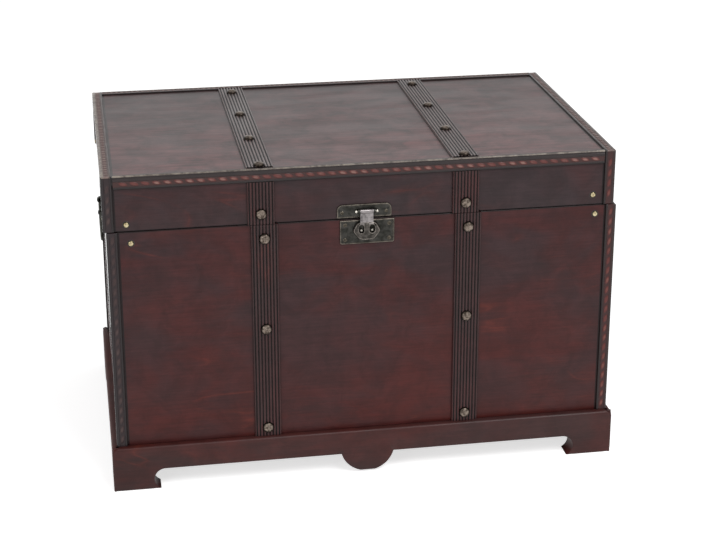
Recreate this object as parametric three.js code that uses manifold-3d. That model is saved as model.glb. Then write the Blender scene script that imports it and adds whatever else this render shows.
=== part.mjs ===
// Sea chest: a dark mahogany trunk on a bracket plinth. Reeded straps with domed studs run up
// the front and over the lid, corded trims cover the edges, a hasp hangs over two snap studs,
// a bail handle hangs on each side, and a slotted stay holds the open lid.
// Millimetres. X runs to the right, Y to the back and Z up from the floor, and the origin is
// on the floor under the middle of the chest.
import * as THREE from "three";
import { mergeVertices } from "three/addons/utils/BufferGeometryUtils.js";
import Module from "manifold-3d";

const wasm = await Module();
wasm.setup();

// Overall sizes
const chestWidth = 600; // over the corner trims
const chestDepth = 357; // over the corner trims
const plinthHeight = 56;
const bodyHeight = 269; // from the plinth's top to the seam
const lidHeight = 67; // from the seam to the top of the edge trims
const lidShift = 3.5; // the lid sits this far to the left of the body
const seamGap = 0.6; // between the closed lid and the body
const fitGap = 0.3; // between pieces that don't meet face to face
const overrun = 2; // how far a cutter runs past what it cuts

// Boards
const boardThickness = 10;
const bottomThickness = 6;
const lidPanelThickness = 9;

// Plinth
const plinthProud = 6; // beyond the corner trims, on every side
const plinthThickness = 24;
const plinthEdgeRadius = 4;
const archHeight = 25.5;
const coveRadius = 13.4;
const footLength = 61.5; // from a foot's outer corner to the centre of its cove
const dropRadius = 33;
const dropFlatWidth = 18;
const dropFloorGap = 2.2;

// Edge trims
const trimLeg = 12.5;
const trimThickness = 2;
const trimEdgeRadius = 1.6;
const frontTrimLeg = 16; // the lid's front trim on the lid's front
const frontTrimTopLeg = 4.5; // and on the lid's top

// Reeded straps
const strapOffset = 120; // from the middle of the chest to the middle of a strap
const strapWidth = 31;
const strapThickness = 3;
const grooveCount = 8;
const groovePitch = 3.6;
const grooveWidth = 1.7;
const grooveDepth = 1;

// Domed studs
const studRadius = 6.7;
const studHeight = 3.8;
const studShankRadius = 1.4;
const studShankCover = 2.5; // wood left behind the point of a shank
const bodyStudTopInset = 17; // below the seam
const bodyStudBottomInset = 11.5; // above the plinth
const bodyStudMiddleShare = 0.53; // from the bottom stud to the top one
const lidStudInset = 12.5; // above the lid's lower edge
const topStudInset = 12; // behind the front of the lid
const topStudPitch = 103;
const topStudCount = 3;

// Latch
const latchWidth = 64;
const latchPlateThickness = 1.2;
const latchRimWidth = 1.8;
const latchRimHeight = 2;
const latchEdgeGap = 1.4; // from each plate to the lid's or the body's edge
const haspPlateHeight = 16;
const haspPlateCorner = 7;
const strikePlateHeight = 29;
const strikePlateCorner = 2.5;
const haspPinHeight = 9.4; // above the lid's lower edge
const haspPinRadius = 1.2;
const haspPinHeadRadius = 1.9;
const haspBarrelRadius = 2.6;
const haspEarWidth = 2.4;
const haspEarWall = 1.3;
const haspOffset = 2.5; // to the right of the hasp plate's middle
const haspNeckWidth = 15.4;
const haspNeckThickness = 1.5;
const haspBossTop = 12.8; // below the pin
const haspBossHeight = 22.8;
const haspBossTopWidth = 22;
const haspBossMiddleWidth = 34.4;
const haspBossBottomWidth = 17;
const haspBossEdge = 1.8;
const haspBossThickness = 4.4;
const haspBossFaceShare = 0.72;
const haspBossGap = 0.5; // between the boss and the strike plate
const haspEyeWidth = 6.4;
const haspEyeHeight = 10.4;
const haspEyeSpacing = 12.6;
const haspEyeDrop = 21.4; // below the pin
const snapStudRadius = 1.7;
const snapStudLength = 5;
const snapStudDrop = 23; // below the pin

// Side handles
const handlePlateLength = 78;
const handlePlateHeight = 28;
const handlePlateCorner = 7;
const handlePlateThickness = 1.5;
const handlePlateDrop = 20; // below the seam
const handlePivotDrop = 8; // below the plate's top
const handlePivotStand = 3; // from the plate's face
const handleRodRadius = 2;
const handleLugWall = 1.3;
const handleLugWidth = 5;
const handleLugGap = 0.5; // from a lug to the bail's shoulder
const handleSpan = 64; // between the middles of the bail's legs
const handleDrop = 35; // from the pivot to the middle of the grip
const handleShoulderRadius = 4.5;
const handleCornerRadius = 10;

// Hinges
const hingeOffset = 175; // from the middle of the chest
const hingeWidth = 38;
const hingeLeafHeight = 25;
const hingeLeafThickness = 1.5;
const hingeKnuckleRadius = 3;
const hingePinRadius = 1.4;
const hingeRunningGap = 0.4; // between knuckles

// Lid stay
const stayRadius = 110; // from the hinge line to the arm's pivot and to the post
const stayAngle = 15; // degrees from the seam to each of them, as the lid is closed
const lidTravel = 100; // degrees
const stayArmWidth = 13;
const stayArmThickness = 2;
const stayArmStand = 1.5; // from the lid's inner face
const staySlotWidth = 5.2;
const stayPivotRadius = 2.2;
const stayPivotDepth = 6; // into the lid's side
const stayPostRadius = 2.2;
const stayPostHeadRadius = 4.6;
const stayPostHeadThickness = 1.5;
const stayFootWidth = 16;
const stayFootHeight = 30;
const stayFootThickness = 1.5;

// Smoothness of round shapes
const studSides = 16;
const studRings = 4;
const shankSides = 8;
const rodSides = 12;
const arcSteps = 6;
const handleSteps = 56;

// Places that follow from the sizes above
const boardX = chestWidth / 2 - trimThickness; // outer face of the side boards
const boardY = chestDepth / 2 - trimThickness; // outer face of the front and back boards
const innerX = boardX - boardThickness;
const innerY = boardY - boardThickness;
const seamZ = plinthHeight + bodyHeight;
const lidZ = seamZ + seamGap;
const lidPanelTop = lidHeight - trimThickness; // above the lid's lower edge
const lidRailHeight = lidPanelTop - lidPanelThickness;
const hingeY = boardY + hingeKnuckleRadius + fitGap;
const hingeZ = seamZ + seamGap / 2;
const haspPinY = -(boardY + latchPlateThickness + fitGap + haspBarrelRadius);

// Materials
const finish = (color, roughness, metalness) =>
  new THREE.MeshStandardMaterial({ color, roughness, metalness });
const boardFinish = finish(0x4a3032, 0.42, 0);
const insideFinish = finish(0x3d2b29, 0.6, 0);
const plinthFinish = finish(0x432c2d, 0.42, 0);
const trimFinish = finish(0x5a3330, 0.5, 0);
const strapFinish = finish(0x352625, 0.45, 0);
const studFinish = finish(0x75695b, 0.45, 0.9);
const latchFinish = finish(0x4f4d46, 0.4, 0.9);
const pinFinish = finish(0xb3a88f, 0.3, 1);
const handleFinish = finish(0x3a3a36, 0.4, 0.9);
const stayFinish = finish(0x9a8a5c, 0.35, 1);

// Solids and booleans

function asSolid(shape) {
  if (!shape.isBufferGeometry) return shape;
  const bare = shape.clone();
  bare.deleteAttribute("normal");
  bare.deleteAttribute("uv");
  const merged = mergeVertices(bare);
  const corners = merged.index.array;
  const kept = [];
  for (let i = 0; i < corners.length; i += 3) {
    const [a, b, c] = corners.slice(i, i + 3);
    if (a !== b && b !== c && c !== a) kept.push(a, b, c);
  }
  return new wasm.Manifold(
    new wasm.Mesh({
      numProp: 3,
      vertProperties: Float32Array.from(merged.attributes.position.array),
      triVerts: Uint32Array.from(kept),
    }),
  );
}

const join = (first, ...rest) => rest.reduce((sum, item) => sum.add(asSolid(item)), asSolid(first));
const cut = (first, ...rest) => rest.reduce((sum, item) => sum.subtract(asSolid(item)), asSolid(first));
const common = (first, ...rest) => rest.reduce((sum, item) => sum.intersect(asSolid(item)), asSolid(first));

function asGeometry(shape) {
  if (shape.isBufferGeometry) return shape;
  const mesh = shape.getMesh();
  const geometry = new THREE.BufferGeometry();
  geometry.setAttribute("position", new THREE.BufferAttribute(mesh.vertProperties, 3));
  geometry.setIndex(new THREE.BufferAttribute(mesh.triVerts, 1));
  geometry.computeVertexNormals();
  return geometry;
}

function piece(name, shape, material, group, place = [0, 0, 0]) {
  const mesh = new THREE.Mesh(asGeometry(shape), material);
  mesh.name = name;
  mesh.position.set(...place);
  group.add(mesh);
  return mesh;
}

// Basic shapes

function block(x0, x1, y0, y1, z0, z1) {
  const geometry = new THREE.BoxGeometry(x1 - x0, y1 - y0, z1 - z0);
  return geometry.translate((x0 + x1) / 2, (y0 + y1) / 2, (z0 + z1) / 2);
}

const point = (x, y) => new THREE.Vector2(x, y);

function arc(centreX, centreY, radius, startDegrees, endDegrees, steps = arcSteps) {
  const points = [];
  for (let i = 0; i <= steps; i += 1) {
    const angle = THREE.MathUtils.degToRad(startDegrees + ((endDegrees - startDegrees) * i) / steps);
    points.push(point(centreX + radius * Math.cos(angle), centreY + radius * Math.sin(angle)));
  }
  return points;
}

function extrude(points, depth, holes = []) {
  const shape = new THREE.Shape(points);
  for (const hole of holes) shape.holes.push(new THREE.Path(hole));
  return new THREE.ExtrudeGeometry(shape, { depth, bevelEnabled: false, steps: 1 });
}

// An outline in X and Y, raised from z0 to z1
const prismZ = (points, z0, z1, holes) => extrude(points, z1 - z0, holes).translate(0, 0, z0);

// An outline in Y and Z, drawn out from x0 to x1
function prismX(points, x0, x1, holes) {
  const turn = new THREE.Matrix4().makeBasis(
    new THREE.Vector3(0, 1, 0),
    new THREE.Vector3(0, 0, 1),
    new THREE.Vector3(1, 0, 0),
  );
  return extrude(points, x1 - x0, holes).applyMatrix4(turn).translate(x0, 0, 0);
}

// An outline in X and Z, drawn out from y0 to y1
function prismY(points, y0, y1, holes) {
  const turn = new THREE.Matrix4().makeBasis(
    new THREE.Vector3(1, 0, 0),
    new THREE.Vector3(0, 0, 1),
    new THREE.Vector3(0, -1, 0),
  );
  return extrude(points, y1 - y0, holes).applyMatrix4(turn).translate(0, y1, 0);
}

const rodX = (radius, x0, x1, y, z, sides = rodSides) =>
  prismX(arc(y, z, radius, 0, 360 - 360 / sides, sides - 1), x0, x1);
const rodY = (radius, y0, y1, x, z, sides = rodSides) =>
  prismY(arc(x, z, radius, 0, 360 - 360 / sides, sides - 1), y0, y1);
const rodZ = (radius, z0, z1, x, y, sides = rodSides) =>
  prismZ(arc(x, y, radius, 0, 360 - 360 / sides, sides - 1), z0, z1);

// A rectangle with its lower and upper corners rounded
function plateOutline(x0, x1, y0, y1, lowerRadius, upperRadius) {
  return [
    ...arc(x0 + lowerRadius, y0 + lowerRadius, lowerRadius, 180, 270),
    ...arc(x1 - lowerRadius, y0 + lowerRadius, lowerRadius, 270, 360),
    ...arc(x1 - upperRadius, y1 - upperRadius, upperRadius, 0, 90),
    ...arc(x0 + upperRadius, y1 - upperRadius, upperRadius, 90, 180),
  ];
}

// A convex outline in X and Z, anticlockwise from the front, that runs forward to another outline
function taper(outline, y0, nextOutline, y1) {
  const count = outline.length;
  const positions = [];
  for (const p of outline) positions.push(p.x, y0, p.y);
  for (const p of nextOutline) positions.push(p.x, y1, p.y);
  const faces = [];
  for (let i = 0; i < count; i += 1) {
    const next = (i + 1) % count;
    faces.push(i, next, i + count, next, next + count, i + count);
  }
  for (let i = 1; i < count - 1; i += 1) {
    faces.push(0, i + 1, i);
    faces.push(count, count + i, count + i + 1);
  }
  const geometry = new THREE.BufferGeometry();
  geometry.setAttribute("position", new THREE.Float32BufferAttribute(positions, 3));
  geometry.setIndex(faces);
  return geometry;
}

// Stud places, shared by the studs and by the holes for their shanks

const shankLength = strapThickness + boardThickness - studShankCover;
const topShankLength = strapThickness + lidPanelThickness - studShankCover;
const bodyStudTop = seamZ - bodyStudTopInset;
const bodyStudBottom = plinthHeight + bodyStudBottomInset;
const bodyStudHeights = [
  ["bottom", bodyStudBottom],
  ["middle", bodyStudBottom + (bodyStudTop - bodyStudBottom) * bodyStudMiddleShare],
  ["top", bodyStudTop],
];
const strapPlaces = [
  ["left", -strapOffset],
  ["right", strapOffset],
];
const strapFaceY = -(boardY + strapThickness);
const topStudY = (index) => -chestDepth / 2 + topStudInset + topStudPitch * index;
const topStudIndexes = [...Array(topStudCount).keys()];

const frontHole = (x, z, length) =>
  rodY(studShankRadius + fitGap, strapFaceY - overrun, strapFaceY + length + fitGap, x, z, shankSides);
const topHole = (x, y) => {
  const strapTop = lidPanelTop + strapThickness;
  const hole = [strapTop - topShankLength - fitGap, strapTop + overrun];
  return rodZ(studShankRadius + fitGap, ...hole, x, y, shankSides);
};

function stud(name, shank, group, place, turn) {
  const profile = [
    point(0, -shank),
    point(studShankRadius, -shank + studShankRadius),
    point(studShankRadius, 0),
    point(studRadius, 0),
  ];
  for (let i = 1; i < studRings; i += 1) {
    const angle = (Math.PI / 2) * (i / studRings);
    profile.push(point(studRadius * Math.cos(angle), studHeight * Math.sin(angle)));
  }
  profile.push(point(0, studHeight));
  const mesh = piece(name, new THREE.LatheGeometry(profile, studSides), studFinish, group, place);
  mesh.rotation.x = turn;
}

// Straps

function strapOutline() {
  const half = strapWidth / 2;
  const points = [point(-half, 0), point(half, 0), point(half, strapThickness)];
  for (let i = grooveCount - 1; i >= 0; i -= 1) {
    const middle = (i - (grooveCount - 1) / 2) * groovePitch;
    points.push(point(middle + grooveWidth / 2, strapThickness));
    points.push(point(middle, strapThickness - grooveDepth));
    points.push(point(middle - grooveWidth / 2, strapThickness));
  }
  points.push(point(-half, strapThickness));
  return points;
}

// An upright strap on a front board, with its reeds to the front
function frontStrap(middle, z0, z1) {
  const outline = strapOutline().map((p) => point(middle + p.x, -boardY - p.y));
  return prismZ(outline, z0, z1);
}

// Body

function buildBody(group) {
  const shell = [-boardX, boardX, -boardY, boardY, plinthHeight, seamZ];
  const studHoles = [];
  for (const [, x] of strapPlaces) {
    for (const [, z] of bodyStudHeights) studHoles.push(frontHole(x, z, shankLength));
  }
  const front = block(shell[0], shell[1], -boardY, -innerY, shell[4], shell[5]);
  piece("body_front", cut(front, ...studHoles), boardFinish, group);
  piece("body_back", block(shell[0], shell[1], innerY, boardY, shell[4], shell[5]), boardFinish, group);
  piece("body_left", block(-boardX, -innerX, -innerY, innerY, shell[4], shell[5]), boardFinish, group);
  piece("body_right", block(innerX, boardX, -innerY, innerY, shell[4], shell[5]), boardFinish, group);
  const floor = [plinthHeight, plinthHeight + bottomThickness];
  piece("body_bottom", block(-innerX, innerX, -innerY, innerY, ...floor), insideFinish, group);

  for (const [side, x] of strapPlaces) {
    const strap = frontStrap(x, plinthHeight, seamZ);
    const holes = bodyStudHeights.map(([, z]) => frontHole(x, z, shankLength));
    piece(`body_strap_${side}`, cut(strap, ...holes), strapFinish, group);
    for (const [level, z] of bodyStudHeights) {
      stud(`body_stud_${side}_${level}`, shankLength, group, [x, strapFaceY, z], Math.PI);
    }
  }
}

// Plinth

// Half of a plinth board's elevation, from its middle to its outer end: the drop, the arch and the foot
function archHalf(half, withDrop) {
  const coveX = half - footLength;
  const coveZ = archHeight - coveRadius;
  const tipAngle = -THREE.MathUtils.radToDeg(Math.asin(Math.min(1, coveZ / coveRadius)));
  const points = [];
  if (withDrop) {
    const flat = dropFlatWidth / 2;
    const centreZ = dropFloorGap + Math.sqrt(dropRadius ** 2 - flat ** 2);
    const startAngle = THREE.MathUtils.radToDeg(Math.atan2(dropFloorGap - centreZ, flat));
    const endAngle = THREE.MathUtils.radToDeg(Math.asin((archHeight - centreZ) / dropRadius));
    points.push(...arc(0, centreZ, dropRadius, startAngle, endAngle));
  }
  points.push(...arc(coveX, coveZ, coveRadius, 90, tipAngle, arcSteps + 2));
  points.push(point(half, 0));
  return points;
}

function plinthOutline(length, withDrop) {
  const half = length / 2;
  const right = archHalf(half, withDrop);
  const left = right.map((p) => point(-p.x, p.y)).reverse();
  return [...left, ...right, point(half, plinthHeight), point(-half, plinthHeight)];
}

// A board along X, with its face at y = 0, its back at y = thickness and mitred ends
function plinthBoard(length, withDrop) {
  const half = length / 2;
  const radius = plinthEdgeRadius;
  const section = [
    point(0, 0),
    point(plinthThickness, 0),
    point(plinthThickness, plinthHeight),
    ...arc(radius, plinthHeight - radius, radius, 90, 180),
  ];
  const plan = [
    point(-half + fitGap, 0),
    point(half - fitGap, 0),
    point(half - fitGap - plinthThickness, plinthThickness),
    point(-half + fitGap + plinthThickness, plinthThickness),
  ];
  const elevation = prismY(plinthOutline(length, withDrop), -overrun, plinthThickness + overrun);
  return common(elevation, prismX(section, -half, half), prismZ(plan, -overrun, plinthHeight + overrun));
}

function buildPlinth(group) {
  const width = chestWidth + 2 * plinthProud;
  const depth = chestDepth + 2 * plinthProud;
  const sides = [
    ["front", width, true, [0, -depth / 2, 0], 0],
    ["right", depth, false, [width / 2, 0, 0], Math.PI / 2],
    ["back", width, false, [0, depth / 2, 0], Math.PI],
    ["left", depth, false, [-width / 2, 0, 0], -Math.PI / 2],
  ];
  for (const [side, length, withDrop, place, turn] of sides) {
    const board = piece(`plinth_${side}`, plinthBoard(length, withDrop), plinthFinish, group, place);
    board.rotation.z = turn;
  }
}

// Trims

// The section of an angle trim with its outer corner at the origin and its legs along +x and +y
function trimSection(legX, legY) {
  return [
    ...arc(trimEdgeRadius, trimEdgeRadius, trimEdgeRadius, 270, 180, arcSteps / 2),
    point(0, legY),
    point(trimThickness, legY),
    point(trimThickness, trimThickness),
    point(legX, trimThickness),
    point(legX, 0),
  ];
}

// An upright trim on each corner of the body or the lid
function cornerTrims(prefix, z0, z1, group) {
  for (const [front, signY] of [["front", -1], ["back", 1]]) {
    for (const [side, signX] of [["left", -1], ["right", 1]]) {
      const outline = trimSection(trimLeg, trimLeg).map((p) =>
        point(signX * (chestWidth / 2 - p.x), signY * (chestDepth / 2 - p.y)),
      );
      piece(`${prefix}_corner_${front}_${side}`, prismZ(outline, z0, z1), trimFinish, group);
    }
  }
}

function lidEdgeTrims(group) {
  const endX = chestWidth / 2 - trimLeg;
  const endY = chestDepth / 2 - trimLeg;
  const frontSection = trimSection(frontTrimTopLeg, frontTrimLeg).map((p) =>
    point(-chestDepth / 2 + p.x, lidHeight - p.y),
  );
  piece("lid_edge_front", prismX(frontSection, -endX, endX), trimFinish, group);
  const backSection = trimSection(trimLeg, trimLeg).map((p) => point(chestDepth / 2 - p.x, lidHeight - p.y));
  piece("lid_edge_back", prismX(backSection, -endX, endX), trimFinish, group);
  for (const [side, sign] of [["left", -1], ["right", 1]]) {
    const section = trimSection(trimLeg, trimLeg).map((p) =>
      point(sign * (chestWidth / 2 - p.x), lidHeight - p.y),
    );
    // The whole section between the corner trims, and the top leg alone over them
    const whole = prismY(section, -chestDepth / 2, chestDepth / 2);
    const outer = [sign * (chestWidth / 2 + overrun), sign * (chestWidth / 2 - trimLeg - overrun)];
    const low = [lidHeight - trimLeg - overrun, lidHeight - trimThickness];
    const ends = [-1, 1].map((end) => {
      const y = [end * endY, end * (chestDepth / 2 + overrun)];
      return block(Math.min(...outer), Math.max(...outer), Math.min(...y), Math.max(...y), ...low);
    });
    piece(`lid_edge_${side}`, cut(whole, ...ends), trimFinish, group);
  }
}

// Lid

function buildLid(group) {
  const pivotHole = rodX(
    stayPivotRadius + fitGap,
    innerX - overrun,
    innerX + stayPivotDepth + fitGap,
    stayPivotPlace().y,
    stayPivotPlace().z - lidZ,
  );
  const frontHoles = strapPlaces.map(([, x]) => frontHole(x, lidStudInset, shankLength));
  const front = block(-boardX, boardX, -boardY, -innerY, 0, lidRailHeight);
  piece("lid_front", cut(front, ...frontHoles), boardFinish, group);
  piece("lid_back", block(-boardX, boardX, innerY, boardY, 0, lidRailHeight), boardFinish, group);
  piece("lid_left", block(-boardX, -innerX, -innerY, innerY, 0, lidRailHeight), boardFinish, group);
  const right = block(innerX, boardX, -innerY, innerY, 0, lidRailHeight);
  piece("lid_right", cut(right, pivotHole), boardFinish, group);
  const topHoles = strapPlaces.flatMap(([, x]) => topStudIndexes.map((i) => topHole(x, topStudY(i))));
  const panel = block(-boardX, boardX, -boardY, boardY, lidRailHeight, lidPanelTop);
  piece("lid_panel", cut(panel, ...topHoles), boardFinish, group);

  for (const [side, x] of strapPlaces) {
    const frontPart = frontStrap(x, 0, lidHeight - frontTrimLeg);
    piece(`lid_strap_${side}`, cut(frontPart, frontHole(x, lidStudInset, shankLength)), strapFinish, group);
    stud(`lid_stud_${side}`, shankLength, group, [x, strapFaceY, lidStudInset], Math.PI);

    const outline = strapOutline().map((p) => point(x + p.x, lidPanelTop + p.y));
    const y = [-chestDepth / 2 + frontTrimTopLeg, chestDepth / 2 - trimLeg];
    const holes = topStudIndexes.map((i) => topHole(x, topStudY(i)));
    piece(`top_strap_${side}`, cut(prismY(outline, ...y), ...holes), strapFinish, group);
    for (const i of topStudIndexes) {
      const place = [x, topStudY(i), lidPanelTop + strapThickness];
      stud(`top_stud_${side}_${i + 1}`, topShankLength, group, place, Math.PI / 2);
    }
  }
}

// Latch

// A plate on a front face, in X and Z, with a raised rim on three sides and one open side
function latchPlate(middleX, z0, z1, lowerRadius, upperRadius, openTop) {
  const half = latchWidth / 2;
  const outline = plateOutline(middleX - half, middleX + half, z0, z1, lowerRadius, upperRadius);
  const whole = prismY(outline, -boardY - latchRimHeight, -boardY);
  const inner = block(
    middleX - half + latchRimWidth,
    middleX + half - latchRimWidth,
    -boardY - latchRimHeight - overrun,
    -boardY - latchPlateThickness,
    openTop ? z0 + latchRimWidth : z0 - overrun,
    openTop ? z1 + overrun : z1 - latchRimWidth,
  );
  return cut(whole, inner);
}

function buildHaspPlate(group) {
  const plate = latchPlate(0, latchEdgeGap, latchEdgeGap + haspPlateHeight, fitGap, haspPlateCorner, false);
  const earRadius = haspPinRadius + fitGap + haspEarWall;
  const earInner = haspNeckWidth / 2 + fitGap;
  const ears = [-1, 1].map((side) => {
    const x = [haspOffset + side * earInner, haspOffset + side * (earInner + haspEarWidth)];
    const outline = [
      ...arc(haspPinY, haspPinHeight, earRadius, 90, 270),
      point(-boardY - latchPlateThickness / 2, haspPinHeight - earRadius),
      point(-boardY - latchPlateThickness / 2, haspPinHeight + earRadius),
    ];
    return prismX(outline, Math.min(...x), Math.max(...x));
  });
  const reach = earInner + haspEarWidth + overrun;
  const hole = rodX(haspPinRadius + fitGap, haspOffset - reach, haspOffset + reach, haspPinY, haspPinHeight);
  piece("hasp_plate", cut(join(plate, ...ears), hole), latchFinish, group);
}

function buildHaspPin(group) {
  const end = haspNeckWidth / 2 + fitGap + haspEarWidth + fitGap;
  const neckAngle = THREE.MathUtils.radToDeg(Math.asin(haspPinRadius / haspPinHeadRadius));
  const headX = end + haspPinHeadRadius * Math.cos(THREE.MathUtils.degToRad(neckAngle));
  const half = arc(headX, 0, haspPinHeadRadius, 180 - neckAngle, 0);
  const right = half.map((p) => point(Math.max(0, p.y), p.x));
  right[right.length - 1].x = 0;
  const left = right.map((p) => point(p.x, -p.y)).reverse();
  const pin = new THREE.LatheGeometry([...left, ...right], rodSides).rotateZ(-Math.PI / 2);
  piece("hasp_pin", pin, pinFinish, group, [haspOffset, haspPinY, haspPinHeight]);
}

function bossOutline(share) {
  const middleZ = -haspBossTop - haspBossHeight / 2;
  const corners = [
    [-haspBossTopWidth / 2, haspBossHeight / 2],
    [-haspBossMiddleWidth / 2, 0],
    [-haspBossBottomWidth / 2, -haspBossHeight / 2],
    [haspBossBottomWidth / 2, -haspBossHeight / 2],
    [haspBossMiddleWidth / 2, 0],
    [haspBossTopWidth / 2, haspBossHeight / 2],
  ].map(([x, z]) => point(x * share, middleZ + z * share));
  // Each corner is cut off between the points a share of the way along its two sides
  const cornerShare = 0.16;
  return corners.flatMap((corner, i) => {
    const before = corners[(i + corners.length - 1) % corners.length];
    const after = corners[(i + 1) % corners.length];
    return [corner.clone().lerp(before, cornerShare), corner.clone().lerp(after, cornerShare)];
  });
}

// The hasp hangs from the pin, which is its origin
function buildHasp(group) {
  const half = haspNeckWidth / 2;
  const back = -(boardY + latchPlateThickness + haspBossGap) - haspPinY;
  const face = back - haspBossThickness;
  const edge = back - haspBossEdge;
  const boss = join(
    taper(bossOutline(1), back, bossOutline(1), edge),
    taper(bossOutline(1), edge, bossOutline(haspBossFaceShare), face),
  );
  const neck = block(
    -half,
    half,
    -haspNeckThickness / 2,
    haspNeckThickness / 2,
    -haspBossTop - haspBossHeight / 4,
    0,
  );
  const eyes = [-1, 1].map((side) => {
    const x = (side * haspEyeSpacing) / 2;
    const radius = haspEyeWidth / 2;
    const rise = haspEyeHeight / 2 - radius;
    const outline = [
      ...arc(x, -haspEyeDrop + rise, radius, 0, 180),
      ...arc(x, -haspEyeDrop - rise, radius, 180, 360),
    ];
    return prismY(outline, face - overrun, back + overrun);
  });
  const barrel = rodX(haspBarrelRadius, -half, half, 0, 0);
  const bore = rodX(haspPinRadius + fitGap, -half - overrun, half + overrun, 0, 0);
  const whole = cut(join(barrel, neck, boss), bore, ...eyes);
  piece("hasp", whole, latchFinish, group, [haspOffset, haspPinY, haspPinHeight]);
}

// The strike plate is on the body, and its snap studs stand in the eyes of the closed hasp
function buildStrikePlate(group) {
  const top = seamZ - latchEdgeGap;
  const plate = latchPlate(0, top - strikePlateHeight, top, strikePlateCorner, fitGap, true);
  const studs = [-1, 1].map((side) => {
    const x = haspOffset - lidShift + (side * haspEyeSpacing) / 2;
    const z = lidZ + haspPinHeight - snapStudDrop;
    const face = -boardY - latchPlateThickness;
    return rodY(snapStudRadius, face - snapStudLength, face + latchPlateThickness / 2, x, z);
  });
  piece("strike_plate", join(plate, ...studs), latchFinish, group);
}

// Side handles

// A handle's own frame: x runs away from the chest's side, with the board's face at zero
function handlePlate() {
  const top = seamZ - handlePlateDrop;
  const half = handlePlateLength / 2;
  const corners = [handlePlateCorner, handlePlateCorner];
  const outline = plateOutline(-half, half, top - handlePlateHeight, top, ...corners);
  const plate = prismX(outline, 0, handlePlateThickness);
  const pivotX = handlePlateThickness + handlePivotStand;
  const pivotZ = top - handlePivotDrop;
  const lugRadius = handleRodRadius + fitGap + handleLugWall;
  const lugOuter = handleSpan / 2 - handleShoulderRadius - handleLugGap;
  const lugs = [-1, 1].map((side) => {
    const y = [side * lugOuter, side * (lugOuter - handleLugWidth)];
    const section = [
      ...arc(pivotX, pivotZ, lugRadius, -90, 90),
      point(handlePlateThickness / 2, pivotZ + lugRadius),
      point(handlePlateThickness / 2, pivotZ - lugRadius),
    ];
    return prismY(section, Math.min(...y), Math.max(...y));
  });
  const bore = rodY(handleRodRadius + fitGap, -half, half, pivotX, pivotZ);
  return cut(join(plate, ...lugs), bore);
}

// The bail hangs from its pivot line, which is its origin
function handleBail() {
  const leg = handleSpan / 2;
  const end = leg - handleShoulderRadius - handleLugGap - handleLugWidth;
  const shoulder = handleShoulderRadius;
  const corner = handleCornerRadius;
  const outline = [
    point(end, 0),
    ...arc(leg - shoulder, -shoulder, shoulder, 90, 0, arcSteps),
    ...arc(leg - corner, -handleDrop + corner, corner, 0, -90, arcSteps),
  ];
  const mirrored = outline.map((p) => point(-p.x, p.y)).reverse();
  const path = new THREE.CurvePath();
  const points = [...outline, ...mirrored].map((p) => new THREE.Vector3(0, p.x, p.y));
  for (let i = 1; i < points.length; i += 1) path.add(new THREE.LineCurve3(points[i - 1], points[i]));
  const section = new THREE.Shape(arc(0, 0, handleRodRadius, 0, 360 - 360 / rodSides, rodSides - 1));
  return new THREE.ExtrudeGeometry(section, { steps: handleSteps, extrudePath: path });
}

function buildHandles(group) {
  const plate = handlePlate();
  const bail = handleBail();
  const pivotX = boardX + handlePlateThickness + handlePivotStand;
  const pivotZ = seamZ - handlePlateDrop - handlePivotDrop;
  for (const [side, sign, turn] of [["right", 1, 0], ["left", -1, Math.PI]]) {
    const plateMesh = piece(`handle_plate_${side}`, plate, handleFinish, group, [sign * boardX, 0, 0]);
    plateMesh.rotation.z = turn;
    piece(`handle_${side}`, bail, handleFinish, group, [sign * pivotX, 0, pivotZ]);
  }
}

// Hinges

// The three knuckles of a hinge as [start, end] along X, from its middle
function knuckleSpans() {
  const third = hingeWidth / 3;
  const gap = hingeRunningGap / 2;
  return [
    [-hingeWidth / 2, -third / 2 - gap],
    [-third / 2 + gap, third / 2 - gap],
    [third / 2 + gap, hingeWidth / 2],
  ];
}

// A leaf in the frame of its pin. It goes up (sign 1) or down (sign -1) from the given knuckles.
function hingeLeaf(spans, sign) {
  const face = boardY - hingeY;
  const leafY = [face, face + hingeLeafThickness];
  const shoulder = hingeKnuckleRadius + fitGap;
  const z = (from, to) => [Math.min(sign * from, sign * to), Math.max(sign * from, sign * to)];
  const half = hingeWidth / 2;
  const plate = block(-half, half, ...leafY, ...z(shoulder, hingeLeafHeight));
  const tongues = spans.map(([x0, x1]) => block(x0, x1, ...leafY, ...z(seamGap / 2, shoulder + fitGap)));
  const knuckles = spans.map(([x0, x1]) => rodX(hingeKnuckleRadius, x0, x1, 0, 0));
  return join(plate, ...tongues, ...knuckles);
}

function buildHinges(bodyGroup, lidGroup) {
  const [first, middle, last] = knuckleSpans();
  const half = hingeWidth / 2;
  for (const [side, x] of [["left", -hingeOffset], ["right", hingeOffset]]) {
    const pin = rodX(hingePinRadius, -half, half, 0, 0);
    const lower = join(hingeLeaf([first, last], -1), pin);
    piece(`hinge_body_leaf_${side}`, lower, latchFinish, bodyGroup, [x, hingeY, hingeZ]);
    const bore = rodX(hingePinRadius + fitGap, -half, half, 0, 0);
    const upper = cut(hingeLeaf([middle], 1), bore);
    const place = [x + lidShift, hingeY, hingeZ - lidZ];
    piece(`hinge_lid_leaf_${side}`, upper, latchFinish, lidGroup, place);
  }
}

// Lid stay

// The arm's pivot in the lid and the post in the body are as far from the hinge line as each
// other, so the arm turns by half the lid's angle and slides along the post.
function stayPivotPlace() {
  const angle = THREE.MathUtils.degToRad(stayAngle);
  const y = hingeY - stayRadius * Math.cos(angle);
  const rise = stayRadius * Math.sin(angle);
  return { y, z: hingeZ + rise, postZ: hingeZ - rise };
}

const stayArmX = innerX - lidShift - stayArmStand; // outer face of the arm

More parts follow.
